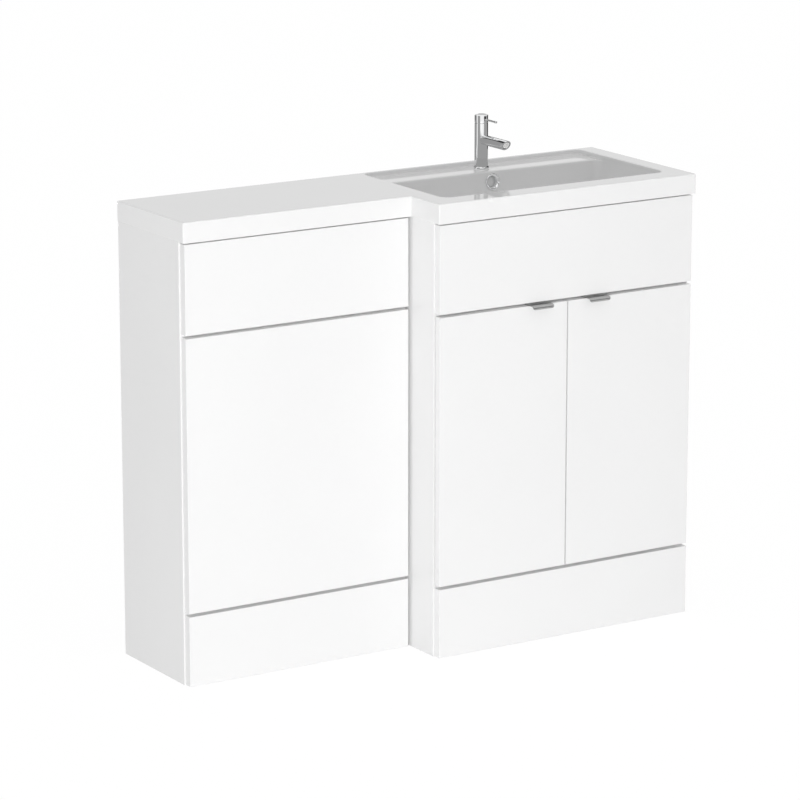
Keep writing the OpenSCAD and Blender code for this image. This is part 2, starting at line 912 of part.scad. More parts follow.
module basin_top() {
    under_z = rim_z - deck_t;
    color(TOP_WHITE) difference() {
        union() {
            translate([0, 0, cab_h]) linear_extrude(top_t) top_outline();
            bowl_body(bowl_wall, cab_h + shell_lap, shell_z, shell_z);
            slab(duct_x0, duct_x0 + duct_w, duct_y0, duct_y1, duct_z,
                ledge_z - duct_lap);
            along_z(waste_x, waste_y, duct_z, shell_z + spigot_lap, spigot_r);
        }
        // bowl, tap ledge and waste seat
        bowl_body(0, ledge_z, floor_z, waste_seat_z);
        translate([bowl_x0, bowl_y0, ledge_z]) linear_extrude(ledge_drop + CUT)
            rounded_rect(bowl_w, ledge_y1 - bowl_y0, corner_r);
        // hollows under the deck
        slab(top_x0 + band_w, van_x0 - board_t, wall_y - top_wc_d + band_w, wall_y - back_band,
            cab_h - CUT, under_z);
        difference() {
            slab(bowl_x0, bowl_x1, bowl_y1 + bowl_wall, wall_y - back_band, cab_h - CUT,
                ledge_z - deck_t);
            slab(duct_x0, duct_x0 + duct_w, duct_y0, duct_y1, duct_z, ledge_z);
        }
        // overflow channel
        slab(bowl_mid_x - channel_w / 2, bowl_mid_x + channel_w / 2,
            bowl_y1 + bowl_wall, bowl_y1 + bowl_wall + channel_d, channel_z0,
            overflow_z + overflow_r + channel_over);
        slab(bowl_mid_x - channel_w / 2, bowl_mid_x + channel_w / 2,
            waste_y, bowl_y1 + bowl_wall + channel_lap, channel_z0, channel_z1);
        at_overflow() along_y(0, -CUT, bowl_wall + overflow_lap, 0, overflow_r);
        along_z(waste_x, waste_y, duct_z - CUT, floor_z, waste_hole_r);
        along_z(tap_x, tap_y, ledge_z - deck_t - CUT, ledge_z + CUT, tap_hole_r);
    }
}

module overflow_ring() {
    color(CHROME) at_overflow() difference() {
        union() {
            along_y(0, -ring_t - ring_seat, -ring_seat, 0, overflow_r + ring_rim);
            along_y(0, -CUT, bowl_wall, 0, overflow_r - ring_clear);
        }
        along_y(0, -ring_t - CUT, bowl_wall + CUT, 0, overflow_r - ring_clear - ring_wall);
    }
}

// ---- waste and trap ----

module waste_body() {
    color(CHROME) difference() {
        union() {
            along_z(waste_x, waste_y, waste_seat_z, waste_seat_z + waste_flange_t, waste_flange_r);
            along_z(waste_x, waste_y, waste_z0, waste_seat_z + CUT, waste_r);
        }
        difference() {
            along_z(waste_x, waste_y, waste_z0 - CUT, waste_seat_z + waste_flange_t + CUT, waste_bore_r);
            along_z(waste_x, waste_y, hub_z1 - hub_h, hub_z1, hub_r);
            for (a = [0, 60, 120]) translate([waste_x, waste_y, hub_z1 - hub_h]) rotate([0, 0, a])
                translate([-waste_bore_r - 1, -spoke_w / 2, 0])
                    cube([2 * waste_bore_r + 2, spoke_w, hub_h / 2]);
        }
        along_z(waste_x, waste_y, hub_z1 - hub_h - CUT, hub_z1 + CUT, plug_stem_r + pivot_clear);
        // slots that take the overflow's water
        slab(waste_x - slot_w / 2, waste_x + slot_w / 2, waste_y - waste_r - CUT,
            waste_y + waste_r + CUT, channel_z0, channel_z1);
    }
}

module waste_plug() {
    color(CHROME) {
        translate([waste_x, waste_y, plug_z]) rotate_extrude($fn = FINE)
            polygon([[0, 0], [plug_r - plug_edge, 0], [plug_r, plug_edge],
                [plug_r, plug_edge + plug_side], [plug_r - plug_dome_in, plug_t - plug_dome],
                [plug_r / 2, plug_t], [0, plug_t]]);
        along_z(waste_x, waste_y, hub_z1 - hub_h - plug_stem_low, plug_z + 1, plug_stem_r);
    }
}

module waste_seal() {
    color(RUBBER) difference() {
        along_z(waste_x, waste_y, duct_z - seal_t, duct_z, waste_seat_r - 1);
        along_z(waste_x, waste_y, duct_z - seal_t - CUT, duct_z + CUT, waste_r + thread_clear);
    }
}

module ring_nut(x, y, z, r, h, bore) {
    translate([x, y, z]) difference() {
        union() {
            cylinder(r = r - 1, h = h, $fn = FINE);
            for (a = [0:30:330]) rotate([0, 0, a]) translate([r - 3, -2.5, 0]) cube([3, 5, h]);
        }
        translate([0, 0, -CUT]) cylinder(r = bore, h = h + 2 * CUT, $fn = FINE);
    }
}

module waste_nut() {
    color(PLASTIC) ring_nut(waste_x, waste_y, duct_z - seal_t - waste_nut_h, waste_seat_r - 2,
        waste_nut_h, waste_r + thread_clear);
}

module trap_union_nut() {
    color(PLASTIC) difference() {
        ring_nut(waste_x, waste_y, waste_z0 - union_h / 2, union_r, union_h, pipe_r + thread_clear);
        along_z(waste_x, waste_y, waste_z0, waste_z0 + union_h, waste_r + thread_clear);
    }
}

module trap_inlet() {
    color(PLASTIC) difference() {
        along_z(waste_x, waste_y, inlet_pipe_z, waste_z0, pipe_r);
        along_z(waste_x, waste_y, inlet_pipe_z - CUT, waste_z0 + CUT, pipe_r - pipe_wall);
    }
}

module trap_body() {
    color(PLASTIC) difference() {
        union() {
            along_z(waste_x, waste_y, trap_z0, trap_z1, trap_r);
            along_z(waste_x, waste_y, trap_z1, trap_z1 + collar_h, pipe_r + 5);
            along_y(waste_x, waste_y, outlet_end_y, outlet_z, outlet_r);
        }
        along_z(waste_x, waste_y, trap_z0 - CUT, trap_z1 - trap_wall, trap_r - trap_wall);
        along_z(waste_x, waste_y, trap_z0 - CUT, trap_z1 + collar_h + CUT, pipe_r + thread_clear);
        along_y(waste_x, waste_y + pipe_r + 5, outlet_end_y + CUT, outlet_z, outlet_bore_r);
    }
}

module trap_cup() {
    color(PLASTIC) difference() {
        union() {
            along_z(waste_x, waste_y, cup_z0, trap_z0 + cup_lap, cup_r);
            along_z(waste_x, waste_y, trap_z0 - collar_h, trap_z0, trap_r);
        }
        along_z(waste_x, waste_y, cup_z0 + trap_wall, trap_z0 + cup_lap + CUT, cup_r - trap_wall);
    }
}

module trap_outlet_nut() {
    color(PLASTIC) translate([waste_x, outlet_end_y - outlet_nut_h, outlet_z])
        rotate([-90, 0, 0])
            ring_nut(0, 0, 0, outlet_nut_r, outlet_nut_h, outlet_r + thread_clear);
}

// ---- tap ----

// Along the spout's end: origin on its axis, Z out of the mitred face
module at_spout_end() {
    translate([tap_x, tap_y - spout_len, spout_axis_z]) rotate([90 + mitre, 0, 0]) children();
}

module tap_body() {
    color(CHROME) difference() {
        union() {
            along_z(tap_x, tap_y, ledge_z, body_top, tap_r);
            along_z(tap_x, tap_y, shank_z, ledge_z + CUT, shank_r);
            difference() {
                along_y(tap_x, tap_y - spout_len - spout_r, tap_y, spout_axis_z, spout_r);
                at_spout_end() translate([-trim_w / 2, -trim_w / 2, 0])
                    cube([trim_w, trim_w, trim_h]);
            }
        }
        along_z(tap_x, tap_y, cartridge_z, body_top + CUT, cartridge_r + cartridge_clear);
        along_y(tap_x, tap_y - spout_len + spout_stop, tap_y, spout_axis_z, spout_bore_r);
        at_spout_end() {
            translate([0, 0, -aerator_h]) cylinder(r = aerator_r, h = aerator_h + CUT, $fn = SMALL);
            translate([0, 0, -aerator_h - spout_bore_r])
                cylinder(r = aerator_r - aerator_wall, h = spout_bore_r + CUT, $fn = SMALL);
        }
        for (s = [LEFT, RIGHT]) {
            along_z(tap_x + s * inlet_off, inlet_y, shank_z - CUT, shank_z + inlet_deep, inlet_r);
            along_z(tap_x + s * inlet_off, inlet_y, shank_z, cartridge_z + CUT, waterway_r);
        }
        along_z(tap_x, stud_y, shank_z - CUT, shank_z + stud_deep, stud_r);
    }
}

module tap_foot_ring() {
    color(CHROME) translate([tap_x, tap_y, ledge_z]) rotate_extrude($fn = FINE)
        polygon([[tap_r + foot_clear, 0], [foot_r, 0], [foot_r, foot_h - foot_bevel],
            [tap_r + foot_top, foot_h], [tap_r + foot_clear, foot_h]]);
}

module tap_cartridge() {
    color(PLASTIC) {
        along_z(tap_x, tap_y, cartridge_z, body_top - cartridge_low, cartridge_r);
        along_z(tap_x, tap_y, body_top - cartridge_low - spindle_lap,
            lever_z - barrel_r - lever_clear, spindle_r);
    }
}

module tap_cap() {
    color(CHROME) difference() {
        along_z(tap_x, tap_y, cap_z, cap_z + cap_h, tap_r);
        difference() {
            along_z(tap_x, tap_y, cap_z - CUT, cap_z + cap_h - cap_roof, cap_bore_r);
            for (s = [LEFT, RIGHT]) {
                x = tap_x + s * (barrel_w / 2 + lever_clear + ear_t / 2);
                slab(x - ear_t / 2, x + ear_t / 2, tap_y - barrel_r, tap_y + barrel_r,
                    lever_z - barrel_r, cap_z + cap_h);
            }
        }
        along_x(tap_x - cap_bore_r, tap_x + cap_bore_r, tap_y, lever_z, journal_r + pivot_clear);
        slab(tap_x - lever_r - lever_clear, tap_x + lever_r + lever_clear,
            tap_y - tap_r - CUT, tap_y, cap_slot_z0, cap_slot_z1);
    }
}

module tap_lever() {
    half = barrel_w / 2;
    color(CHROME) {
        along_y(tap_x, tap_y - lever_len + lever_tip, tap_y, lever_z, lever_r);
        along_y(tap_x, tap_y - lever_len, tap_y - lever_len + lever_tip, lever_z,
            lever_r + lever_tip_lip);
        along_x(tap_x - half, tap_x + half, tap_y, lever_z, barrel_r);
        along_x(tap_x - half - ear_t, tap_x + half + ear_t, tap_y, lever_z, journal_r);
    }
}

module aerator() {
    color(STEEL) at_spout_end() difference() {
        translate([0, 0, -aerator_h]) cylinder(r = aerator_r, h = aerator_h - aerator_low,
            $fn = SMALL);
        translate([0, 0, -aerator_deep])
            cylinder(r = aerator_r - aerator_wall, h = aerator_deep + CUT, $fn = SMALL);
    }
}

module tap_stud() {
    color(STEEL) along_z(tap_x, stud_y, shank_z + stud_deep - stud_len, shank_z + stud_deep, stud_r);
}

// Horseshoe washer: the slot at the back lets the two inlet hoses past
module tap_clamp_washer() {
    color(STEEL) difference() {
        along_z(tap_x, tap_y, washer_z, washer_z + washer_t, washer_r);
        along_z(tap_x, stud_y, washer_z - CUT, washer_z + washer_t + CUT, stud_r + thread_clear);
        slab(tap_x - washer_slot / 2, tap_x + washer_slot / 2, stud_y + 2 * stud_r,
            tap_y + washer_r + CUT, washer_z - CUT, washer_z + washer_t + CUT);
    }
}

module tap_stud_nut() {
    color(BRASS) translate([tap_x, stud_y, washer_z - nut_h]) difference() {
        cylinder(r = nut_r, h = nut_h, $fn = 6);
        translate([0, 0, -CUT]) cylinder(r = stud_r + thread_clear, h = nut_h + 2 * CUT, $fn = SMALL);
    }
}

wc_side_left();
wc_side_right();
wc_rail(0);  // wc_top_front_rail
wc_rail(1);  // wc_top_back_rail
wc_rail(2);  // wc_mid_rail
wc_rail(3);  // wc_low_rail
wc_fascia();
wc_panel();
wc_plinth();
wc_fascia_studs();
wc_fascia_sockets();
vanity_side(van_x0);  // vanity_side_left
vanity_side(van_x1 - board_t);  // vanity_side_right
vanity_bottom();
vanity_rail(0);  // vanity_top_front_rail
vanity_rail(1);  // vanity_mid_rail
vanity_rail(2);  // vanity_low_rail
vanity_rail(3);  // vanity_top_back_rail
vanity_fascia();
vanity_plinth();
shelf();
shelf_pins();
door_buffers();
door_left();
door_right();
handle_left();
handle_right();
handle_screws_left();
handle_screws_right();
hinge_cups_left();
hinge_cups_right();
hinge_links_left();
hinge_links_right();
hinge_arms();
hinge_pins();
hinge_plates();
hinge_plate_screws();
carcass_dowels();
front_screws();
cabinet_bolts();
basin_top();
overflow_ring();
waste_body();
waste_plug();
waste_seal();
waste_nut();
trap_union_nut();
trap_inlet();
trap_body();
trap_cup();
trap_outlet_nut();
tap_body();
tap_foot_ring();
tap_cartridge();
tap_cap();
tap_lever();
aerator();
tap_stud();
tap_clamp_washer();
tap_stud_nut();
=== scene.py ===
"""Toilet and basin combination unit: the visible pieces, their finishes and a plain studio.

Every size is in metres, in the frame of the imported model: the floor is at Z 0, the wall is
at +Y and the fronts face -Y.
"""

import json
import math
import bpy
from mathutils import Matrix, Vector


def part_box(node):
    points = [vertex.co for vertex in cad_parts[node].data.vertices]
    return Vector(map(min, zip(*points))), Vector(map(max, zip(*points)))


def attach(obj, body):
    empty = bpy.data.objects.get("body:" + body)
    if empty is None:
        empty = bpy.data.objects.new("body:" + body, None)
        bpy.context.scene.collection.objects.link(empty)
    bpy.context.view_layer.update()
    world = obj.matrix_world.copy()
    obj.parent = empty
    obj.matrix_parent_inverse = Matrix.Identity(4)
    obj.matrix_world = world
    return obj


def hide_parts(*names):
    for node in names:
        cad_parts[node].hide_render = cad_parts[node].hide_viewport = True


bl_info = {
    "name": "Toilet and Basin Unit",
    "version": (1, 0, 0),
    "blender": (4, 5, 0),
    "location": "3D View > Sidebar > Bathroom",
    "description": "Builds a toilet and basin combination unit round its packed model",
    "category": "Object",
}

import bmesh
import bpy
from bpy.props import FloatProperty, FloatVectorProperty, PointerProperty
from mathutils import Matrix, Vector

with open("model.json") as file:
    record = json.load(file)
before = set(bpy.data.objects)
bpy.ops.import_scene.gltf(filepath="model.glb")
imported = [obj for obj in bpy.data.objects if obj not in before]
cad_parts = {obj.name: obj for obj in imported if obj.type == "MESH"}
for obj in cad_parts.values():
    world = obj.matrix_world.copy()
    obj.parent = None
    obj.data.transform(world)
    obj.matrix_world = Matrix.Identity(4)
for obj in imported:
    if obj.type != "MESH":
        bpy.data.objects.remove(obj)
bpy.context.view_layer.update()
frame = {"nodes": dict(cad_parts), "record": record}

MM = 0.001
TURN = 2 * math.pi
SMOOTH_ANGLE = math.radians(32)     # sharper edges than this show as edges
EASE_ANGLE = math.radians(40)       # sharper edges than this are rounded in a CAD copy
FLAT_ANGLE = math.radians(0.5)      # triangles that meet flatter than this become one face
WELD = 1e-6                         # corners of a CAD mesh nearer than this are one
CUT = 1 * MM                        # a cutting shape stands out this far
SLOT_OF = {part["node"]: part["material_slot"] for part in frame["record"]["subparts"]}
BODY_OF = {
    node: body
    for body, nodes in frame["record"]["behaviour"]["bodies"].items()
    for node in nodes
}


def middle_of(box):
    return (box[0] + box[1]) / 2


def radius_of(box):
    """Radius of an upright round part, from its box."""
    return (box[1].x - box[0].x) / 2


TOP_LOW, TOP_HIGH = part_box("basin_top")
DECK_LOW_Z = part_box("wc_side_left")[1].z
VANITY_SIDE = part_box("vanity_side_left")
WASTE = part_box("waste_body")
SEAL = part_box("waste_seal")
TAP_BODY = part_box("tap_body")
TAP_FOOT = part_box("tap_foot_ring")
TAP_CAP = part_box("tap_cap")
TAP_MIDDLE = middle_of(TAP_FOOT)
LEDGE_Z = TAP_FOOT[0].z
# The top stands as far past the basin unit's left side as past the toilet unit's, and as far
# past the toilet unit's fronts as past the basin unit's
STEP_X = VANITY_SIDE[0].x - (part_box("wc_side_left")[0].x - TOP_LOW.x)
STEP_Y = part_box("wc_panel")[0].y - (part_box("vanity_plinth")[0].y - TOP_LOW.y)


# ---- settings ----


def length(name, default, description, low=0.0):
    """A size in metres, shown in the scene's units."""
    return FloatProperty(name=name, description=description, default=default, min=low,
                         unit="LENGTH", precision=4)


def angle(name, default, description):
    """An angle whose default is given in degrees."""
    return FloatProperty(name=name, description=description, default=math.radians(default),
                         subtype="ANGLE")


def position(name, default, description):
    return FloatVectorProperty(name=name, description=description, default=default,
                               subtype="TRANSLATION")


def colour(name, default, description):
    return FloatVectorProperty(name=name, description=description, default=default, size=3,
                               min=0.0, max=1.0, subtype="COLOR")


def amount(name, default, description, high=1.0):
    return FloatProperty(name=name, description=description, default=default, min=0.0, max=high,
                         subtype="FACTOR")


class TopSettings(bpy.types.PropertyGroup):
    """Sizes of the moulded top and its bowl."""

    edge_round: length("Edge round", 2.2 * MM, "Radius of the top's upper edges")
    corner_round: length("Corner round", 3 * MM, "Radius of the top's upright corners")
    bowl_left: length("Bowl left", -8 * MM, "X of the rim's left inner edge", -10)
    bowl_right: length("Bowl right", 512 * MM, "X of the rim's right inner edge", -10)
    bowl_front: length("Bowl front", -124.75 * MM, "Y of the rim's front inner edge", -10)
    bowl_back: length("Bowl back", 103.25 * MM, "Y of the bowl's back wall", -10)
    ledge_back: length("Ledge back", 176.25 * MM, "Y of the wall behind the tap ledge", -10)
    ledge_drop: length("Ledge drop", 9 * MM, "Distance of the tap ledge under the rim")
    depth: length("Depth", 114 * MM, "Depth of the bowl under the rim")
    fall: length("Fall", 5 * MM, "Fall of the bowl's floor to the waste")
    lean: length("Lean", 8 * MM, "Distance that the bowl's walls lean in")
    floor_round: length("Floor round", 22 * MM, "Radius between the walls and the floor")
    front_corner: length("Front corners", 20 * MM, "Radius of the rim's front inner corners")
    back_corner: length("Back corners", 15 * MM, "Radius of the rim's back inner corners")
    wall: length("Wall", 8 * MM, "Thickness of the bowl's walls")
    seat_radius: length("Waste seat", 32 * MM, "Radius of the flat seat round the waste")
    hole_radius: length("Waste hole", 22 * MM, "Radius of the waste hole")


class TapSettings(bpy.types.PropertyGroup):
    """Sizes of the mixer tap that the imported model's boxes don't give."""

    spout_radius: length("Spout radius", 10 * MM, "Radius of the spout")
    spout_height: length("Spout height", 59 * MM, "Height of the spout's axis above the ledge")
    spout_reach: length("Spout reach", 90 * MM, "Length of the spout on its axis")
    mitre: angle("Mitre", 30, "Slope of the spout's cut end")
    lever_radius: length("Lever radius", 2 * MM, "Radius of the lever")
    edge: length("Edge", 0.35 * MM, "Radius of the tap's turned edges")


class BoardSettings(bpy.types.PropertyGroup):
    """Edges of the boards, the fronts and the handles."""

    front_edge: length("Front edge", 0.9 * MM, "Radius of the lacquered fronts' edges")
    board_edge: length("Board edge", 0.5 * MM, "Radius of the cabinets' board edges")
    handle_bend: length("Handle bend", 5 * MM, "Outer radius of the handle's bend")
    handle_corner: length("Handle corners", 4 * MM, "Radius of the handle lip's corners")


class FinishSettings(bpy.types.PropertyGroup):
    """Colours of the finishes."""

    lacquer: colour("Lacquer", (0.90, 0.90, 0.90), "Gloss lacquer of the fronts")
    board: colour("Board", (0.89, 0.89, 0.89), "Gloss faced board of the cabinets")
    resin: colour("Cast resin", (0.90, 0.90, 0.90), "Gel coat of the moulded top")
    chrome: colour("Chrome", (0.88, 0.885, 0.89), "Polished chrome of the tap")
    satin: colour("Satin plate", (0.42, 0.42, 0.42), "Brushed plate of the handles")
    steel: colour("Steel", (0.58, 0.58, 0.59), "Nickel plated steel of the hinges and screws")
    brass: colour("Brass", (0.70, 0.53, 0.25), "Brass of the tap's nut")
    beech: colour("Beech", (0.66, 0.47, 0.28), "Beech of the dowels")
    plastic: colour("Plastic", (0.82, 0.82, 0.81), "Moulded plastic of the trap")
    rubber: colour("Rubber", (0.05, 0.05, 0.05), "Rubber of the waste's seal")


class StudioSettings(bpy.types.PropertyGroup):
    """Camera and light."""

    camera_place: position("Camera place", (-3.9515, -6.2315, 2.2899), "Place of the camera")
    camera_yaw: angle("Camera yaw", 32.18, "Turn of the camera to the right")
    camera_pitch: angle("Camera pitch", 13.79, "Tilt of the camera downwards")
    focal_length: FloatProperty(name="Focal length", description="Focal length in millimetres",
                                default=173.82, unit="CAMERA")
    sky: amount("Sky", 0.42, "Light that comes from all round", 4.0)
    overhead: amount("Overhead light", 0.42, "Light that is added straight overhead", 4.0)
    lamp_place: position("Lamp place", (-3.6, -6.0, 0.35), "Place of the low lamp")
    lamp_aim: position("Lamp aim", (0.0, 0.0, 0.45), "Point that the lamp faces")
    lamp_width: length("Lamp width", 3.0, "Width of the low lamp")
    lamp_height: length("Lamp height", 0.5, "Height of the low lamp")
    lamp_power: FloatProperty(name="Lamp power", description="Power of the low lamp in watts",
                              default=246.0, min=0.0)
    card_distance: length("Card distance", 0.13, "Distance of the upright cards from the tap")
    floor_glow: amount("Floor glow", 0.93, "Share of the floor that shows as plain white")


class UnitSettings(bpy.types.PropertyGroup):
    """All settings of the unit."""

    top: PointerProperty(type=TopSettings)
    tap: PointerProperty(type=TapSettings)
    boards: PointerProperty(type=BoardSettings)
    finish: PointerProperty(type=FinishSettings)
    studio: PointerProperty(type=StudioSettings)


def settings():
    return bpy.context.scene.bathroom_unit


# ---- finishes ----

# For each finish: the setting of its colour, metal, the range of its roughness, the share by
# which its colour varies, the size of the pattern's features along X, Y and Z, the bump's
# height and the size of its features. Without that size, the bump has the pattern's features.
FINISHES = {
    "gloss_front": dict(tone="lacquer", rough=(0.035, 0.06), spread=0.006,
                        feature=(0.25, 0.25, 0.25), bump=2e-6, ripple=0.006),
    "carcass_board": dict(tone="board", rough=(0.05, 0.09), spread=0.008,
                          feature=(0.2, 0.2, 0.3), bump=2e-6, ripple=0.004),
    "cast_resin": dict(tone="resin", rough=(0.03, 0.07), spread=0.006,
                       feature=(0.15, 0.15, 0.15), bump=3e-6, ripple=0.012),
    "chrome": dict(tone="chrome", metal=1.0, rough=(0.0, 0.0), spread=0.01,
                   feature=(0.02, 0.02, 0.02), bump=4e-7, ripple=0.003),
    "brushed_handle": dict(tone="satin", metal=1.0, rough=(0.24, 0.34), spread=0.06,
                           feature=(0.03, 0.0004, 0.0004), bump=3e-6),
    "steel": dict(tone="steel", metal=1.0, rough=(0.16, 0.3), spread=0.05,
                  feature=(0.004, 0.004, 0.004), bump=4e-6, ripple=0.002),
    "brass": dict(tone="brass", metal=1.0, rough=(0.22, 0.36), spread=0.06,
                  feature=(0.003, 0.003, 0.003), bump=5e-6, ripple=0.001),
    "beech": dict(tone="beech", rough=(0.5, 0.7), spread=0.25,
                  feature=(0.02, 0.0012, 0.0012), bump=3e-5, ripple=0.001),
    "white_plastic": dict(tone="plastic", rough=(0.28, 0.4), spread=0.02,
                          feature=(0.03, 0.03, 0.03), bump=6e-6, ripple=0.0012),
    "soft_rubber": dict(tone="rubber", rough=(0.6, 0.8), spread=0.15,
                        feature=(0.004, 0.004, 0.004), bump=2e-5, ripple=0.001),
}
INDEX_OF_REFRACTION = 1.5
NOISE_LOW, NOISE_HIGH = 0.3, 0.7    # nearly all of a noise texture lies between these


def add_node(tree, kind, inputs=None, **properties):
    """Adds a node. An input that is given another node's output is linked to it, and one that
    is given a value is set to it."""
    node = tree.nodes.new(kind)
    for name, value in properties.items():
        setattr(node, name, value)
    for name, value in (inputs or {}).items():
        if isinstance(value, bpy.types.NodeSocket):
            tree.links.new(value, node.inputs[name])
        else:
            node.inputs[name].default_value = value
    return node


def noise(tree, feature, detail=2.0):
    """Noise on object coordinates whose features have the given size along X, Y and Z."""
    place = add_node(tree, "ShaderNodeTexCoord")
    stretch = add_node(tree, "ShaderNodeMapping", {
        "Vector": place.outputs["Object"], "Scale": [1 / size for size in feature]})
    texture = add_node(tree, "ShaderNodeTexNoise", {
        "Vector": stretch.outputs["Vector"], "Scale": 1.0, "Detail": detail})
    return texture.outputs["Fac"]


def spread_over(tree, value, low, high):
    """Noise mapped to the range low to high."""
    node = add_node(tree, "ShaderNodeMapRange", {
        "Value": value, "From Min": NOISE_LOW, "From Max": NOISE_HIGH, "To Min": low,
        "To Max": high})
    return node.outputs["Result"]


def finish(slot):
    """The material of a slot of the record, made on first use."""
    known = bpy.data.materials.get(slot)
    if known and known.get("made_here"):
        return known
    if known:
        known.name = slot + "_packed"
    look = FINISHES[slot]
    material = bpy.data.materials.new(slot)
    material["made_here"] = True
    material.use_nodes = True
    tree = material.node_tree
    shader = tree.nodes["Principled BSDF"]
    shader.inputs["Metallic"].default_value = look.get("metal", 0.0)
    shader.inputs["IOR"].default_value = INDEX_OF_REFRACTION

    tone = getattr(settings().finish, look["tone"])
    darker, paler = ([min(1, part * share) for part in tone] + [1]
                     for share in (1 - look["spread"], 1 + look["spread"]))
    pattern = noise(tree, look["feature"])
    mix = add_node(tree, "ShaderNodeMix", {
        "Factor": spread_over(tree, pattern, 0, 1), "A": darker, "B": paler}, data_type="RGBA")
    tree.links.new(mix.outputs["Result"], shader.inputs["Base Color"])
    low, high = look["rough"]
    if low < high:
        tree.links.new(spread_over(tree, pattern, low, high), shader.inputs["Roughness"])
    else:
        shader.inputs["Roughness"].default_value = low
    ripple = [look["ripple"]] * 3 if "ripple" in look else look["feature"]
    bump = add_node(tree, "ShaderNodeBump", {
        "Strength": 1.0, "Distance": look["bump"], "Height": noise(tree, ripple, 1.0)})
    tree.links.new(bump.outputs["Normal"], shader.inputs["Normal"])
    return material


# ---- making pieces ----


def in_scene(name, data):
    """A new object in the scene."""
    thing = bpy.data.objects.new(name, data)
    bpy.context.scene.collection.objects.link(thing)
    return thing


def finished(name, mesh, node, weighted=False):
    """Makes the piece that stands for a CAD node."""
    slot = SLOT_OF[node]
    mesh.materials.clear()
    mesh.materials.append(finish(slot))
    mesh.shade_smooth()
    mesh.set_sharp_from_angle(angle=SMOOTH_ANGLE)
    piece = in_scene(name, mesh)
    if weighted:
        modifier = piece.modifiers.new("even_shading", "WEIGHTED_NORMAL")
        modifier.keep_sharp = True
    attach(piece, BODY_OF[node])
    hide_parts(node)
    return piece


def to_mesh(bm, name, outwards=True):
    """Makes a mesh of the work, with its faces turned outwards or left as they are."""
    if outwards:
        bmesh.ops.recalc_face_normals(bm, faces=bm.faces)
    mesh = bpy.data.meshes.new(name)
    bm.to_mesh(mesh)
    bm.free()
    return mesh


def skin(bm, loops, ring=False):
    """Joins closed loops of points, each to the next, and gives back their vertices."""
    rows = [[bm.verts.new(point) for point in loop] for loop in loops]
    for near, far in zip(rows, rows[1:] + rows[:1] if ring else rows[1:]):
        for i in range(len(near)):
            j = (i + 1) % len(near)
            bm.faces.new((near[i], near[j], far[j], far[i]))
    return rows


def capped(bm, loops):
    """Joins closed loops of points to a solid with flat ends."""
    rows = skin(bm, loops)
    bm.faces.new(reversed(rows[0]))
    bm.faces.new(rows[-1])


def quarter(steps):
    """Sines and cosines through a quarter turn."""
    return [(math.sin(math.pi / 2 * i / steps), math.cos(math.pi / 2 * i / steps))
            for i in range(steps + 1)]


def rounded_over(radius, top, across, down, steps):
    """Profile of a turned shape's rounded upper edge, from its side to its top. A profile that
    has the first of these points twice keeps the round from bending the side's reflections."""
    return [(radius - across * (1 - c), top - down * (1 - s)) for s, c in quarter(steps)]


def circle(radii, z):
    """Points round the Z axis, with a radius for each."""
    return [Vector((r * math.cos(TURN * i / len(radii)), r * math.sin(TURN * i / len(radii)), z))
            for i, r in enumerate(radii)]


def turned_loops(profile, place, steps):
    """Circles of a turned shape: profile is [(radius, height)] along the local Z."""
    return [[place @ point for point in circle([r] * steps, h)] for r, h in profile]


def turned(profile, place=Matrix(), steps=96):
    """A turned solid's mesh."""
    bm = bmesh.new()
    capped(bm, turned_loops(profile, place, steps))
    return to_mesh(bm, "turned")


def turned_ring(profile, place, steps=96):
    """The mesh of a turned ring, whose profile runs round its section."""
    bm = bmesh.new()
    skin(bm, turned_loops(profile, place, steps), ring=True)
    return to_mesh(bm, "turned_ring")


def rod(place, radius, low, high, steps=64):
    """A plain rod's mesh, for joining and cutting."""
    return turned([(radius, low), (radius, high)], place, steps)


def rectangle(x0, x1, y0, y1, z):
    return [Vector((x0, y0, z)), Vector((x1, y0, z)), Vector((x1, y1, z)), Vector((x0, y1, z))]


def block(x0, x1, y0, y1, z0, z1, place=Matrix()):
    """A plain block's mesh, for joining and cutting."""
    bm = bmesh.new()
    capped(bm, [[place @ point for point in rectangle(x0, x1, y0, y1, z)] for z in (z0, z1)])
    return to_mesh(bm, "block")


def applied(thing, *helpers):
    """The mesh of an object with its modifiers applied. It and its helpers are removed."""
    mesh = bpy.data.meshes.new_from_object(
        thing.evaluated_get(bpy.context.evaluated_depsgraph_get()))
    for used in (thing, *helpers):
        bpy.data.objects.remove(used)
    return mesh


def shaped(mesh, join=(), cut=()):
    """The mesh joined with some meshes and cut by others."""
    base = in_scene("shaped_base", mesh)
    tools = []
    for operation, meshes in (("UNION", join), ("DIFFERENCE", cut)):
        for other in meshes:
            tools.append(in_scene("shaped_tool", other))
            modifier = base.modifiers.new(operation, "BOOLEAN")
            modifier.operation, modifier.solver = operation, "EXACT"
            modifier.object = tools[-1]
    return applied(base, *tools)


def upright(point, z=0.0):
    """A matrix whose Z runs up through a point, from a height."""
    return Matrix.Translation((point.x, point.y, z))


def axis_place(origin, direction):
    """A matrix whose Z runs along a direction from an origin."""
    turn = Vector(direction).to_track_quat("Z", "Y").to_matrix().to_4x4()
    return Matrix.Translation(Vector(origin)) @ turn


def cad_copy(node):
    """A copy of a CAD part's triangles with their corners joined."""
    bm = bmesh.new()
    bm.from_mesh(frame["nodes"][node].data)
    bmesh.ops.remove_doubles(bm, verts=bm.verts, dist=WELD)
    return bm


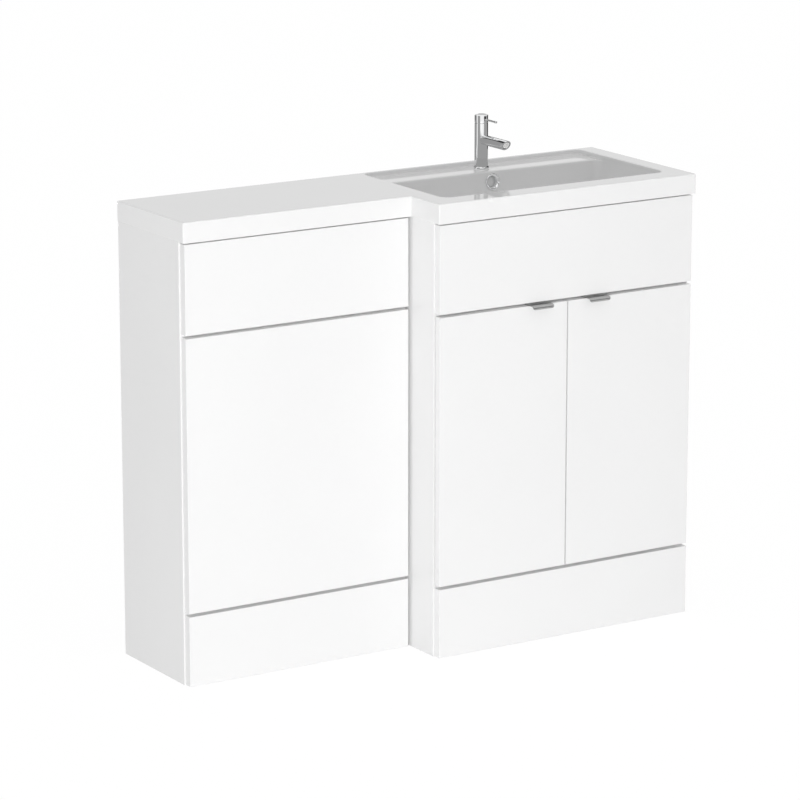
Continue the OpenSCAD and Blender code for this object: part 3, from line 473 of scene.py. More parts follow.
def islands(node):
    """Boxes of the separate solids of a CAD node, as (low corner, high corner)."""
    bm = cad_copy(node)
    seen, boxes = set(), []
    for first in bm.verts:
        if first in seen:
            continue
        stack, points = [first], []
        seen.add(first)
        while stack:
            vert = stack.pop()
            points.append(vert.co.copy())
            for edge in vert.link_edges:
                other = edge.other_vert(vert)
                if other not in seen:
                    seen.add(other)
                    stack.append(other)
        boxes.append(tuple(Vector(side(p[k] for p in points) for k in range(3))
                           for side in (min, max)))
    bm.free()
    return boxes


def eased(node, radius, picks, segments=2, clamp=True):
    """A copy of a CAD part whose picked edges are rounded."""
    bm = cad_copy(node)
    bmesh.ops.dissolve_limit(bm, angle_limit=FLAT_ANGLE, verts=bm.verts, edges=bm.edges)
    bmesh.ops.bevel(bm, geom=[edge for edge in bm.edges if picks(edge)], offset=radius,
                    segments=segments, profile=0.5, affect="EDGES", clamp_overlap=clamp)
    return to_mesh(bm, node, outwards=False)


# ---- boards and fronts ----

BOARDS = ("wc_side_left", "wc_side_right", "vanity_side_left", "vanity_side_right",
          "vanity_bottom", "shelf", "wc_top_front_rail", "wc_top_back_rail", "wc_mid_rail",
          "wc_low_rail", "vanity_top_front_rail", "vanity_mid_rail", "vanity_low_rail",
          "vanity_top_back_rail")
FRONTS = ("wc_fascia", "wc_panel", "wc_plinth", "vanity_fascia", "vanity_plinth", "door_left",
          "door_right")


def eased_board(node, radius):
    """A copy of a board whose outer edges are rounded, with its holes as they are."""
    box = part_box(node)

    def outer(edge):
        """Two faces of the board's own box meet in this edge."""
        sides = [k for k in range(3)
                 if any(all(abs(vert.co[k] - corner[k]) < WELD for vert in edge.verts)
                        for corner in box)]
        return len(sides) == 2

    return eased(node, radius, outer, segments=3, clamp=False)


class BATHROOM_OT_boards(bpy.types.Operator):
    """Builds the sides, rails, bottom and shelf of both cabinets"""

    bl_idname = "bathroom.boards"
    bl_label = "Cabinet boards"

    def execute(self, context):
        for node in BOARDS:
            mesh = eased_board(node, settings().boards.board_edge)
            finished("board_" + node, mesh, node, weighted=True)
        return {"FINISHED"}


class BATHROOM_OT_fronts(bpy.types.Operator):
    """Builds the lacquered fascias, panels, plinths and doors"""

    bl_idname = "bathroom.fronts"
    bl_label = "Gloss fronts"

    def execute(self, context):
        for node in FRONTS:
            mesh = eased_board(node, settings().boards.front_edge)
            finished("front_" + node, mesh, node, weighted=True)
        return {"FINISHED"}


# ---- moulded top ----

EDGE_STEPS = 5              # bends of a rounded edge
OUTLINE_STEPS = 5           # bends of an upright corner of the top
ARC_STEPS = 8               # bends of a corner of the bowl
LONG_STEPS = 24             # parts of a long side of the bowl
SHORT_STEPS = 12            # parts of a short side of the bowl
LEDGE_ROWS = 8              # parts of the ledge from its back to the bowl
WALL_ROWS = 6               # parts of the bowl's walls from the ledge to the round
FLOOR_ROWS = 7              # bends of the round at the floor
SEAT_ROWS = 6               # parts of the floor from the round to the waste's seat
LEAST_CORNER = 0.2 * MM     # an upright corner that is moved in keeps this radius
LOWER_EDGE = 0.8 * MM       # radius of the top's lower edge
RIM_BAND = 0.6 * MM         # flat strip that the rounded edges of the rim run out to
COVE = 3 * MM               # radius between the ledge and the wall behind it
LIP = 3.5 * MM              # radius from the ledge into the bowl
SIDE_FALL = 1 * MM          # fall of the rows at the bowl's sides beside the ledge
SEAM = 0.02 * MM            # gap that keeps two rows apart
CORNER_GAIN = 6 * MM        # growth of a corner's radius down the walls
LIP_GAIN = 3 * MM           # growth of a back corner's radius round the lip
FLOOR_CORNER = 7 * MM       # radius of the corners at the floor
WASTE_CHAMFER = 1 * MM      # chamfer of the waste hole
SPIGOT_WALL = 1 * MM        # distance of the spigot's side outside the waste's seat
SHELL_DROP = 10 * MM        # distance of the outer shell's floor under the waste's seat
SHELL_ROWS = 4              # parts of that floor from the round to the spigot
SHELL_GAP = 1 * MM          # least distance of the shell's rows under the deck
SPIGOT_LAP = 1 * MM         # distance of the spigot's upper end under the shell's floor
HOLLOW_GAP = 1 * MM         # distance of the hollow behind the bowl from the shell
LOWER_EDGE_STEPS = 3        # bends of the top's lower edge
FRONT_BAND = 30 * MM        # solid edge of the top round the hollow over the toilet unit
BACK_BAND = 20 * MM         # solid edge of the top along the wall
DECK = 12 * MM              # thickness of the top over its hollows
OVERFLOW_HOLE = (12.5 * MM, -9.5 * MM, 5 * MM)      # radius, and from and to along its axis
TAP_HOLE = (13.5 * MM, -20 * MM, 5 * MM)


def rounded_polygon(corners, radii, arc_steps, side_steps):
    """Points round a polygon of square corners. Each has the side it lies on, and its place
    on that corner's arc from 0 to 1, or None on a straight side."""
    points = []
    count = len(corners)
    for i in range(count):
        before, here, after = (Vector(corners[k % count]) for k in (i - 1, i, i + 1))
        come, go = (here - before).normalized(), (after - here).normalized()
        radius = radii[i]
        centre = here - come * radius + go * radius
        for k in range(arc_steps + 1):
            t = math.pi / 2 * k / arc_steps
            point = centre - go * radius * math.cos(t) + come * radius * math.sin(t)
            points.append((point, i, k / arc_steps))
        start = here + go * radius
        following = after - go * radii[(i + 1) % count]
        for k in range(1, side_steps[i]):
            points.append((start.lerp(following, k / side_steps[i]), i, None))
    return points


def outline_loop(inset, z):
    """Loop round the L-shaped top, moved in by an inset."""
    left, back = TOP_LOW.x + inset, TOP_HIGH.y - inset
    right, front = TOP_HIGH.x - inset, TOP_LOW.y + inset
    step_x, step_y = STEP_X + inset, STEP_Y + inset
    corners = [(left, step_y), (step_x, step_y), (step_x, front), (right, front),
               (right, back), (left, back)]
    # the second corner is the inner one of the L
    radii = [max(settings().top.corner_round + (inset if i == 1 else -inset), LEAST_CORNER)
             for i in range(6)]
    points = rounded_polygon(corners, radii, OUTLINE_STEPS, [1] * 6)
    return [Vector((p.x, p.y, z)) for p, _, _ in points]


def bowl_loop(grow, row):
    """Loop of the bowl. A row is (inset, Z) of the front and sides, (Y, Z) of the back, and
    the radii of the front and back corners. Grow moves the loop out, for the outer shell."""
    top = settings().top
    inset, side_z, back_y, back_z, front_r, back_r = row
    left, right = top.bowl_left + inset - grow, top.bowl_right - inset + grow
    front, back = top.bowl_front + inset - grow, back_y + grow
    corners = [(left, front), (right, front), (right, back), (left, back)]
    radii = [front_r + grow, front_r + grow, back_r + grow, back_r + grow]
    points = rounded_polygon(corners, radii, ARC_STEPS,
                             [LONG_STEPS, SHORT_STEPS, LONG_STEPS, SHORT_STEPS])
    loop = []
    for point, corner, arc in points:
        backness = {0: 0.0, 1: 0.0, 2: 1.0 if arc is None else arc,
                    3: 0.0 if arc is None else 1 - arc}[corner]
        backness = backness * backness * (3 - 2 * backness)
        loop.append(Vector((point.x, point.y, side_z + (back_z - side_z) * backness)))
    return loop


def bowl_rows():
    """Rows of the bowl from the rim's edge to the floor, as bowl_loop takes them."""
    top = settings().top
    rim, e = TOP_HIGH.z, top.edge_round
    ledge = rim - top.ledge_drop
    floor = rim - top.depth
    front_r, back_r = top.front_corner, top.back_corner
    # the rounded edge of the rim, the wall behind the ledge, and the cove at its foot
    rows = [(-e * (1 - s), rim - e * (1 - c), top.ledge_back + e * (1 - s), rim - e * (1 - c),
             front_r, back_r) for s, c in quarter(EDGE_STEPS)]
    rows += [(0, ledge + COVE * (1 - s), top.ledge_back - COVE * (1 - c), ledge + COVE * (1 - s),
              front_r, back_r) for s, c in quarter(EDGE_STEPS)]
    # the ledge, and the lip where it turns down into the bowl
    for k in range(1, LEDGE_ROWS):
        t = k / LEDGE_ROWS
        back_y = (top.ledge_back - COVE) * (1 - t) + (top.bowl_back + LIP) * t
        rows.append((0, ledge - SIDE_FALL * t, back_y, ledge, front_r, back_r))
    rows += [(0, ledge - SIDE_FALL - (LIP - SIDE_FALL) * (1 - c) - SEAM,
              top.bowl_back + LIP * (1 - s), ledge - LIP * (1 - c), front_r,
              back_r + LIP_GAIN * s) for s, c in quarter(EDGE_STEPS)]
    # the walls lean in from the ledge to the round at the floor
    start_z, end_z = ledge - LIP, floor + top.floor_round
    for k in range(1, WALL_ROWS + 1):
        t = k / WALL_ROWS
        inset = top.lean * t
        z = start_z * (1 - t) + end_z * t
        rows.append((inset, z, top.bowl_back - inset, z, front_r + CORNER_GAIN * t,
                     back_r + LIP_GAIN + CORNER_GAIN * t))
    wall_front_r, wall_back_r = rows[-1][4:]
    for s, c in quarter(FLOOR_ROWS)[1:]:
        inset = top.lean + top.floor_round * (1 - c)
        z = floor + top.floor_round * (1 - s)
        rows.append((inset, z, top.bowl_back - inset, z,
                     *(r - (r - FLOOR_CORNER) * (1 - c) for r in (wall_front_r, wall_back_r))))
    return rows


def to_circle(loop, centre, radius, z, share):
    """A loop moved part of the way to a circle round a centre."""
    out = []
    for point in loop:
        way = Vector((point.x - centre.x, point.y - centre.y, 0)).normalized()
        goal = Vector((centre.x, centre.y, z)) + way * radius
        out.append(point.lerp(goal, share))
    return out


def fill_between(bm, rings):
    """Fills the flat area inside the first ring of vertices and outside the others."""
    edges = []
    for ring in rings:
        for i in range(len(ring)):
            pair = (ring[i], ring[(i + 1) % len(ring)])
            edges.append(bm.edges.get(pair) or bm.edges.new(pair))
    bmesh.ops.triangle_fill(bm, use_beauty=True, use_dissolve=False, edges=edges)


def basin_mesh():
    """The L-shaped top with its ledge, its bowl, the hollows under its deck and its spigot."""
    top = settings().top
    rim, under, e = TOP_HIGH.z, DECK_LOW_Z, top.edge_round
    waste = middle_of(WASTE)
    seat_z = rim - top.depth - top.fall
    bm = bmesh.new()

    # outside, from the lower edge up and over the rounded upper edge
    outside = [outline_loop(LOWER_EDGE * (1 - s), under + LOWER_EDGE * (1 - c))
               for s, c in quarter(LOWER_EDGE_STEPS)]
    outside += [outline_loop(e * (1 - c), rim - e * (1 - s)) for s, c in quarter(EDGE_STEPS)]
    outside.append(outline_loop(e + RIM_BAND, rim))
    outer_rows = skin(bm, outside)

    # inside of the bowl, down through the waste hole and back along the outer shell
    rows = bowl_rows()
    inside = [bowl_loop(0, (-e - RIM_BAND, rim, top.ledge_back + e + RIM_BAND, rim,
                            top.front_corner, top.back_corner))]
    inside += [bowl_loop(0, row) for row in rows]
    floor, spigot_r = inside[-1], top.seat_radius + SPIGOT_WALL
    inside += [to_circle(floor, waste, top.seat_radius, seat_z, k / SEAT_ROWS)
               for k in range(1, SEAT_ROWS + 1)]
    inside += [to_circle(floor, waste, radius, z, 1) for radius, z in (
        (top.hole_radius + WASTE_CHAMFER, seat_z), (top.hole_radius, seat_z - WASTE_CHAMFER),
        (top.hole_radius, TOP_LOW.z), (spigot_r, TOP_LOW.z),
        (spigot_r, seat_z - SHELL_DROP - SPIGOT_LAP))]
    shell = []
    for inset, z, back_y, back_z, *corners in rows:
        if z < under - SHELL_GAP:
            down = top.wall * max(0.0, (inset - top.lean) / top.floor_round)
            shell.append(bowl_loop(top.wall, (inset, z - down, back_y, back_z - down, *corners)))
    inside += [to_circle(shell[-1], waste, spigot_r, seat_z - SHELL_DROP, k / SHELL_ROWS)
               for k in range(SHELL_ROWS - 1, 0, -1)]
    inset, _, back_y, _, *corners = rows[-WALL_ROWS - FLOOR_ROWS]
    shell_top = bowl_loop(top.wall, (inset, under, back_y, under, *corners))
    inner_rows = skin(bm, inside + shell[::-1] + [shell_top])
    fill_between(bm, [outer_rows[-1], inner_rows[0]])

    # hollows under the deck
    hollows = [
        (TOP_LOW.x + FRONT_BAND, 2 * VANITY_SIDE[0].x - VANITY_SIDE[1].x, STEP_Y + FRONT_BAND,
         TOP_HIGH.y - BACK_BAND, rim - DECK),
        (top.bowl_left, top.bowl_right, top.bowl_back + top.wall + HOLLOW_GAP,
         TOP_HIGH.y - BACK_BAND, rim - top.ledge_drop - DECK)]
    mouths = []
    for *sides, z in hollows:
        walls = skin(bm, [rectangle(*sides, under), rectangle(*sides, z)])
        bm.faces.new(walls[1])
        mouths.append(walls[0])
    fill_between(bm, [outer_rows[0], inner_rows[-1]] + mouths)
    bmesh.ops.remove_doubles(bm, verts=bm.verts, dist=WELD / 10)
    return to_mesh(bm, "basin_top")


def overflow_place():
    """Middle of the overflow on the leaning back wall, with Z out of the wall."""
    top = settings().top
    lean = math.atan2(top.lean, top.depth - top.ledge_drop - top.floor_round)
    middle = middle_of(islands("overflow_ring")[0])
    y = top.bowl_back - (TOP_HIGH.z - top.ledge_drop - middle.z) * math.tan(lean)
    return axis_place((middle.x, y, middle.z), (0, -math.cos(lean), math.sin(lean)))


class BATHROOM_OT_basin_top(bpy.types.Operator):
    """Builds the moulded top with its bowl, its ledge and the hole of the overflow"""

    bl_idname = "bathroom.basin_top"
    bl_label = "Moulded top"

    def execute(self, context):
        ledge = TOP_HIGH.z - settings().top.ledge_drop
        holes = [rod(overflow_place(), *OVERFLOW_HOLE),
                 rod(upright(TAP_MIDDLE, ledge), *TAP_HOLE)]
        mesh = shaped(basin_mesh(), cut=holes)
        finished("moulded_top", mesh, "basin_top", weighted=True)
        return {"FINISHED"}


# ---- tap ----

BODY_STEPS = 128                    # corners of the body's, cap's and foot's circles
SPOUT_STEPS = 72
SHANK_R = 12.5 * MM                 # the body's root under the ledge
SHANK_EDGE = 0.5 * MM
BORE_GAP = 0.2 * MM                 # clearance round the cartridge
NECK_IN, NECK_UP = 0.9 * MM, 0.6 * MM       # the groove under the cap
INLET_X, INLET_Y = 6.2 * MM, 3 * MM         # place of the water inlets from the tap's axis
INLET_R, INLET_DEEP = 4.45 * MM, 8 * MM
STUD_R, STUD_DEEP = 3 * MM, 10 * MM         # hole of the fixing stud
FOOT_GAP = 0.1 * MM
FOOT_OVER, FOOT_DOWN = 2.1 * MM, 3.7 * MM   # the round of the foot ring
FOOT_EDGE, FOOT_BORE_EDGE = 0.2 * MM, 0.1 * MM
AERATOR_R = 7.2 * MM                # seat of the aerator in the spout's end
AERATOR_SEAT = 5 * MM
AERATOR_GAP, GRILLE_R = 0.35 * MM, 5.3 * MM
BAR_PITCH, BAR_HALF = 1.15 * MM, 0.22 * MM
BAR_LOW, BAR_TOP, BAR_STEP = -2.25 * MM, -1.5 * MM, 0.05 * MM
CAP_EDGE, CAP_ROOF, CAP_WALL = 0.6 * MM, 2 * MM, 2.5 * MM
CAP_LOWER_EDGE, SLOT_GAP = 0.3 * MM, 0.3 * MM
TIP, TIP_LIP, TIP_EDGE = 5 * MM, 0.5 * MM, 0.7 * MM     # the thicker end of the lever
TIP_GROOVE, TIP_CHAMFER = 0.3 * MM, 0.2 * MM
BARREL_HALF, JOURNAL_R = 4 * MM, 2 * MM     # the lever's root inside the cap


def spout_mesh():
    """The spout with its slanted end and the seat of its aerator."""
    tap = settings().tap
    height = LEDGE_Z + tap.spout_height
    end = TAP_MIDDLE.y - tap.spout_reach
    r, e = tap.spout_radius, tap.edge

    def ring(radius, back, slope=math.tan(tap.mitre)):
        return [Vector((TAP_MIDDLE.x + point.x, end + back - slope * point.y, height + point.y))
                for point in circle([radius] * SPOUT_STEPS, 0)]

    loops = [ring(r, TAP_MIDDLE.y - end, 0.0)]
    loops += [ring(r - e * (1 - c), e * (1 - s)) for s, c in quarter(3)]
    loops += [ring(AERATOR_R + e, 0), ring(AERATOR_R, 0.5 * e), ring(AERATOR_R, AERATOR_SEAT)]
    bm = bmesh.new()
    capped(bm, loops)
    return to_mesh(bm, "spout")


class BATHROOM_OT_tap(bpy.types.Operator):
    """Builds the mixer tap's body, spout, aerator, foot ring, cap and lever"""

    bl_idname = "bathroom.tap"
    bl_label = "Mixer tap"

    def execute(self, context):
        self.body()
        self.foot_ring()
        self.aerator()
        self.cap()
        self.lever()
        return {"FINISHED"}

    def body(self):
        r, e = radius_of(TAP_BODY), settings().tap.edge
        low, top = TAP_BODY[0].z, TAP_BODY[1].z
        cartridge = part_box("tap_cartridge")
        bore, neck = radius_of(cartridge) + BORE_GAP, r - NECK_IN
        profile = [(SHANK_R - SHANK_EDGE, low), (SHANK_R, low + SHANK_EDGE), (SHANK_R, LEDGE_Z),
                   (r, LEDGE_Z), (r, top - e)]
        profile += rounded_over(r, top, e, e, 3)
        profile += [(neck, top), (neck, top + NECK_UP), (bore, top + NECK_UP),
                    (bore, cartridge[0].z)]
        holes = [rod(upright(TAP_MIDDLE + Vector((side * INLET_X, INLET_Y, 0)), low), INLET_R,
                     -CUT, INLET_DEEP, 32) for side in (-1, 1)]
        holes.append(rod(upright(middle_of(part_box("tap_stud")), low), STUD_R, -CUT, STUD_DEEP,
                         32))
        mesh = shaped(turned(profile, upright(TAP_MIDDLE), BODY_STEPS), join=[spout_mesh()],
                      cut=holes)
        finished("tap_body_shape", mesh, "tap_body", weighted=True)

    def foot_ring(self):
        r, high = radius_of(TAP_FOOT), TAP_FOOT[1].z - LEDGE_Z
        bore = radius_of(TAP_BODY) + FOOT_GAP
        e, inner = FOOT_EDGE, FOOT_BORE_EDGE
        section = [(bore, 0), (r - e, 0), (r, e), (r, high - FOOT_DOWN - e)]
        section += rounded_over(r, high, FOOT_OVER, FOOT_DOWN, 9)
        section += [(bore + inner, high), (bore, high - inner)]
        mesh = turned_ring(section, upright(TAP_MIDDLE, LEDGE_Z), BODY_STEPS)
        finished("tap_foot_ring_shape", mesh, "tap_foot_ring")

    def aerator(self):
        """An insert with a grille, square to the slanted end of the spout."""
        tap = settings().tap
        end = Vector((TAP_MIDDLE.x, TAP_MIDDLE.y - tap.spout_reach, LEDGE_Z + tap.spout_height))
        place = axis_place(end, (0, -math.cos(tap.mitre), -math.sin(tap.mitre)))
        outer, inner = AERATOR_R - AERATOR_GAP, GRILLE_R
        section = [(inner, -4 * MM), (outer, -4 * MM), (outer, -0.7 * MM),
                   (outer - 0.25 * MM, -0.45 * MM), (inner + 0.2 * MM, -0.45 * MM),
                   (inner, -0.65 * MM)]
        floor = [(inner + 0.1 * MM, -3.6 * MM), (inner + 0.1 * MM, -2.2 * MM)]
        bm = bmesh.new()
        skin(bm, turned_loops(section, place, 64), ring=True)
        capped(bm, turned_loops(floor, place, 64))
        for k in range(-4, 5):
            across = k * BAR_PITCH
            reach = math.sqrt(max(inner ** 2 - across ** 2, 0)) + 0.05 * MM
            near, far = across - BAR_HALF, across + BAR_HALF
            for sides, top in (((near, far, -reach, reach), BAR_TOP),
                               ((-reach, reach, near, far), BAR_TOP + BAR_STEP)):
                capped(bm, [[place @ point for point in rectangle(*sides, z)]
                            for z in (BAR_LOW, top)])
        finished("tap_aerator_grille", to_mesh(bm, "aerator"), "aerator")

    def cap(self):
        r, low, high = radius_of(TAP_CAP), TAP_CAP[0].z, TAP_CAP[1].z
        profile = [(r - CAP_LOWER_EDGE, low), (r, low + CAP_LOWER_EDGE), (r, high - CAP_EDGE)]
        profile += rounded_over(r, high, CAP_EDGE, CAP_EDGE, 4)
        place, roof = upright(TAP_MIDDLE), high - CAP_ROOF
        x, y = TAP_MIDDLE.x, TAP_MIDDLE.y
        slot = settings().tap.lever_radius + SLOT_GAP
        cuts = [rod(place, r - CAP_WALL, low - CUT, roof),
                block(x - slot, x + slot, y - r - CUT, y, (low + high) / 2 - slot, roof)]
        finished("tap_cap_shape", shaped(turned(profile, place, BODY_STEPS), cut=cuts),
                 "tap_cap")

    def lever(self):
        low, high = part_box("tap_lever")
        root = upright(TAP_MIDDLE, middle_of(TAP_CAP).z).translation
        along, across = axis_place(root, (0, -1, 0)), axis_place(root, (1, 0, 0))
        reach, r = root.y - low.y, settings().tap.lever_radius
        tip, grown, groove = reach - TIP, r + TIP_LIP, r - TIP_GROOVE
        profile = [(r, 0), (r, tip - TIP_GROOVE), (groove, tip - TIP_GROOVE / 2), (groove, tip),
                   (grown - TIP_CHAMFER, tip), (grown, tip + TIP_CHAMFER),
                   (grown, reach - TIP_EDGE)]
        profile += rounded_over(grown, reach, TIP_EDGE, TIP_EDGE, 4)
        half = (high.x - low.x) / 2
        parts = [rod(across, (high.z - low.z) / 2, -BARREL_HALF, BARREL_HALF, 48),
                 rod(across, JOURNAL_R, -half, half, 32)]
        finished("tap_lever_shape", shaped(turned(profile, along, 48), join=parts), "tap_lever")


# ---- handles ----

HANDLE_T = 2 * MM
HANDLE_EDGE = 0.25 * MM
BEND_STEPS, CORNER_STEPS = 8, 6
SCREW_HOLE_R, SCREW_HOLE_DEEP = 1.8 * MM, 3 * MM
SCREW_HEAD = 1 * MM         # height of the handle screws' heads, which are sunk in the plate


def handle_mesh(node):
    """A bent edge pull: a plate on the door's top edge and a lip in front of it."""
    boards = settings().boards
    low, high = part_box(node)
    bend, corner, e = boards.handle_bend, boards.handle_corner, HANDLE_EDGE
    middle = (low.y + bend, high.z - bend)
    # (Y, Z) outside, (Y, Z) inside, and how far the ends are drawn in
    rows = [((high.y, high.z), (high.y, high.z - HANDLE_T), 0.0)]
    for s, c in quarter(BEND_STEPS):
        rows.append((*((middle[0] - r * s, middle[1] + r * c) for r in (bend, bend - HANDLE_T)),
                     0.0))
    for s, c in quarter(CORNER_STEPS):
        z = low.z + corner * (1 - s)
        rows.append(((low.y, z), (low.y + HANDLE_T, z), corner * (1 - c)))
    loops = []
    for outer, inner, pull in rows:
        a, b = Vector((0, *outer)), Vector((0, *inner))
        way = (b - a).normalized() * e
        x0, x1 = low.x + pull, high.x - pull
        loops.append([Vector((x, 0, 0)) + point for x, point in (
            (x0 + e, a), (x1 - e, a), (x1, a + way), (x1, b - way),
            (x1 - e, b), (x0 + e, b), (x0, b - way), (x0, a + way))])
    bm = bmesh.new()
    capped(bm, loops)
    return to_mesh(bm, node)


class BATHROOM_OT_handles(bpy.types.Operator):
    """Builds the two bent edge pulls on top of the doors"""

    bl_idname = "bathroom.handles"
    bl_label = "Door handles"

    def execute(self, context):
        for side in ("left", "right"):
            holes = []
            for screw_box in islands("handle_screws_" + side):
                head, top = radius_of(screw_box), screw_box[1].z
                seat = top - SCREW_HEAD
                profile = [(SCREW_HOLE_R, top - SCREW_HOLE_DEEP), (SCREW_HOLE_R, seat),
                           (head, seat), (head, top + CUT)]
                holes.append(turned(profile, upright(middle_of(screw_box)), 32))
            node = "handle_" + side
            finished("edge_pull_" + side, shaped(handle_mesh(node), cut=holes), node)
        return {"FINISHED"}


# ---- overflow and waste ----

RING_HOLE, RING_PIPE, RING_R, RING_THICK = 10.3 * MM, 12.2 * MM, 16.5 * MM, 2.5 * MM
RING_DEEP = 8 * MM
WASTE_PIPE, WASTE_BORE, WASTE_RIM = 20.95 * MM, 17 * MM, 3 * MM
THREAD_PITCH, THREAD_DEEP = 1.5 * MM, 0.7 * MM
THREAD_MARGIN = 2 * MM              # distance of the thread from the pipe's end and the seal
BORE_EDGE, PIPE_EDGE, RIM_EDGE, FLANGE_EDGE = 0.5 * MM, 0.6 * MM, 0.4 * MM, 1.2 * MM
HUB_R, HUB_BORE, HUB_HIGH = 8 * MM, 4.05 * MM, 14 * MM
HUB_DROP = 14 * MM                  # distance of the hub's top under the seal's
SPOKE_HALF, SPOKE_HIGH = 2 * MM, 7 * MM
SLOT_HALF, SLOT_REACH = 9 * MM, 22 * MM     # slots that let the overflow's water in
SLOT_UP, SLOT_HIGH = 5 * MM, 8 * MM
PLUG_THICK, PLUG_DOME, PLUG_STEM = 5 * MM, 2.5 * MM, 4 * MM


class BATHROOM_OT_overflow_and_waste(bpy.types.Operator):
    """Builds the overflow ring, the waste with its hub, and the plug"""

    bl_idname = "bathroom.overflow_and_waste"
    bl_label = "Overflow and waste"

    def execute(self, context):
        self.overflow_ring()
        self.waste()
        self.plug()
        return {"FINISHED"}

    def overflow_ring(self):
        section = [(RING_HOLE, -RING_DEEP), (RING_PIPE, -RING_DEEP), (RING_PIPE, 0.1 * MM),
                   (RING_R - 0.2 * MM, 0.1 * MM), (RING_R, 0.4 * MM), (RING_R, 0.9 * MM)]
        section += rounded_over(RING_R, RING_THICK, 1.4 * MM, 1.6 * MM, 6)
        section += [(RING_R - 1.9 * MM, RING_THICK - 0.15 * MM), (RING_PIPE + 0.1 * MM, 0.7 * MM),
                    (RING_HOLE + 0.5 * MM, -1 * MM), (RING_HOLE, -2.2 * MM)]
        finished("overflow_collar", turned_ring(section, overflow_place()), "overflow_ring")

    def waste(self):
        low, high = WASTE[0].z, WASTE[1].z
        middle, flange = middle_of(WASTE), radius_of(WASTE)
        place, bore, pipe = upright(middle), WASTE_BORE, WASTE_PIPE
        section = [(bore, low + BORE_EDGE), (bore + BORE_EDGE, low), (pipe - PIPE_EDGE, low),
                   (pipe, low + PIPE_EDGE)]
        z = low + THREAD_MARGIN
        while z < SEAL[0].z - THREAD_MARGIN:
            section += [(pipe, z), (pipe - THREAD_DEEP, z + THREAD_PITCH / 2)]
            z += THREAD_PITCH
        section += [(pipe, z), (pipe, high - WASTE_RIM), (flange - RIM_EDGE, high - WASTE_RIM),
                    (flange, high - WASTE_RIM + RIM_EDGE), (flange, high - FLANGE_EDGE)]
        section += rounded_over(flange, high, FLANGE_EDGE, FLANGE_EDGE, 4)
        section += [(bore + 4 * MM, high - 0.6 * MM), (bore + 1.2 * MM, high - 1.6 * MM),
                    (bore, high - 4 * MM)]
        hub_top = SEAL[1].z - HUB_DROP
        hub_low = hub_top - HUB_HIGH
        hub = turned([(HUB_R, hub_low), (HUB_R, hub_top - 1 * MM), (HUB_R - 1 * MM, hub_top)],
                     place, 48)
        spokes = [block(-bore - 1 * MM, bore + 1 * MM, -SPOKE_HALF, SPOKE_HALF, hub_low,
                        hub_low + SPOKE_HIGH, place @ Matrix.Rotation(turn, 4, "Z"))
                  for turn in (0, TURN / 6, TURN / 3)]
        slot = SEAL[1].z + SLOT_UP
        cuts = [rod(place, HUB_BORE, hub_low - CUT, hub_top + CUT, 32),
                block(middle.x - SLOT_HALF, middle.x + SLOT_HALF, middle.y - SLOT_REACH,
                      middle.y + SLOT_REACH, slot, slot + SLOT_HIGH)]
        mesh = shaped(turned_ring(section, place), join=[hub] + spokes, cut=cuts)
        finished("waste_shape", mesh, "waste_body")

    def plug(self):
        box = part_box("waste_plug")
        r, low = radius_of(box), box[0].z
        base = box[1].z - PLUG_THICK
        side = base + PLUG_THICK - PLUG_DOME
        profile = [(PLUG_STEM - 0.5 * MM, low), (PLUG_STEM, low + 0.5 * MM), (PLUG_STEM, base),
                   (r - 3 * MM, base), (r - 1.5 * MM, base), (r, base + 1.5 * MM), (r, side)]
        profile += [(max(r * c, 0.4 * MM), side + PLUG_DOME * s) for s, c in quarter(12)[1:]]
        finished("waste_plug_shape", turned(profile, upright(middle_of(box))), "waste_plug")


# ---- parts with their CAD shape and eased edges ----

TRAP_PARTS = ("trap_body", "trap_cup", "trap_inlet", "trap_union_nut", "trap_outlet_nut",
              "waste_nut", "waste_seal")
HINGE_PARTS = ("hinge_cups_left", "hinge_cups_right", "hinge_links_left", "hinge_links_right",
               "hinge_arms", "hinge_plates")
TAP_PARTS = ("tap_cartridge", "tap_clamp_washer", "tap_stud_nut")
MOULDED_EDGE, PRESSED_EDGE = 0.4 * MM, 0.25 * MM


def eased_part(kind, node, radius):
    """The piece of a CAD part whose sharp edges are rounded."""
    def sharp(edge):
        return edge.is_manifold and edge.calc_face_angle() > EASE_ANGLE

    finished(kind + node, eased(node, radius, sharp), node, weighted=True)


class BATHROOM_OT_trap(bpy.types.Operator):
    """Builds the bottle trap with its nuts and the seal of the waste"""

    bl_idname = "bathroom.trap"
    bl_label = "Trap"

    def execute(self, context):
        for node in TRAP_PARTS:
            eased_part("moulded_", node, MOULDED_EDGE)
        return {"FINISHED"}


class BATHROOM_OT_hinges(bpy.types.Operator):
    """Builds the hinges' cups, links, arms and plates"""

    bl_idname = "bathroom.hinges"
    bl_label = "Hinges"

    def execute(self, context):
        for node in HINGE_PARTS:
            eased_part("pressed_", node, PRESSED_EDGE)
        return {"FINISHED"}


class BATHROOM_OT_tap_fixing(bpy.types.Operator):
    """Builds the tap's cartridge and the washer and nut that hold it to the ledge"""

    bl_idname = "bathroom.tap_fixing"
    bl_label = "Tap fixing"

    def execute(self, context):
        for node in TAP_PARTS:
            eased_part("fitted_", node, PRESSED_EDGE)
        return {"FINISHED"}


# ---- fixings, placed by a node tree ----


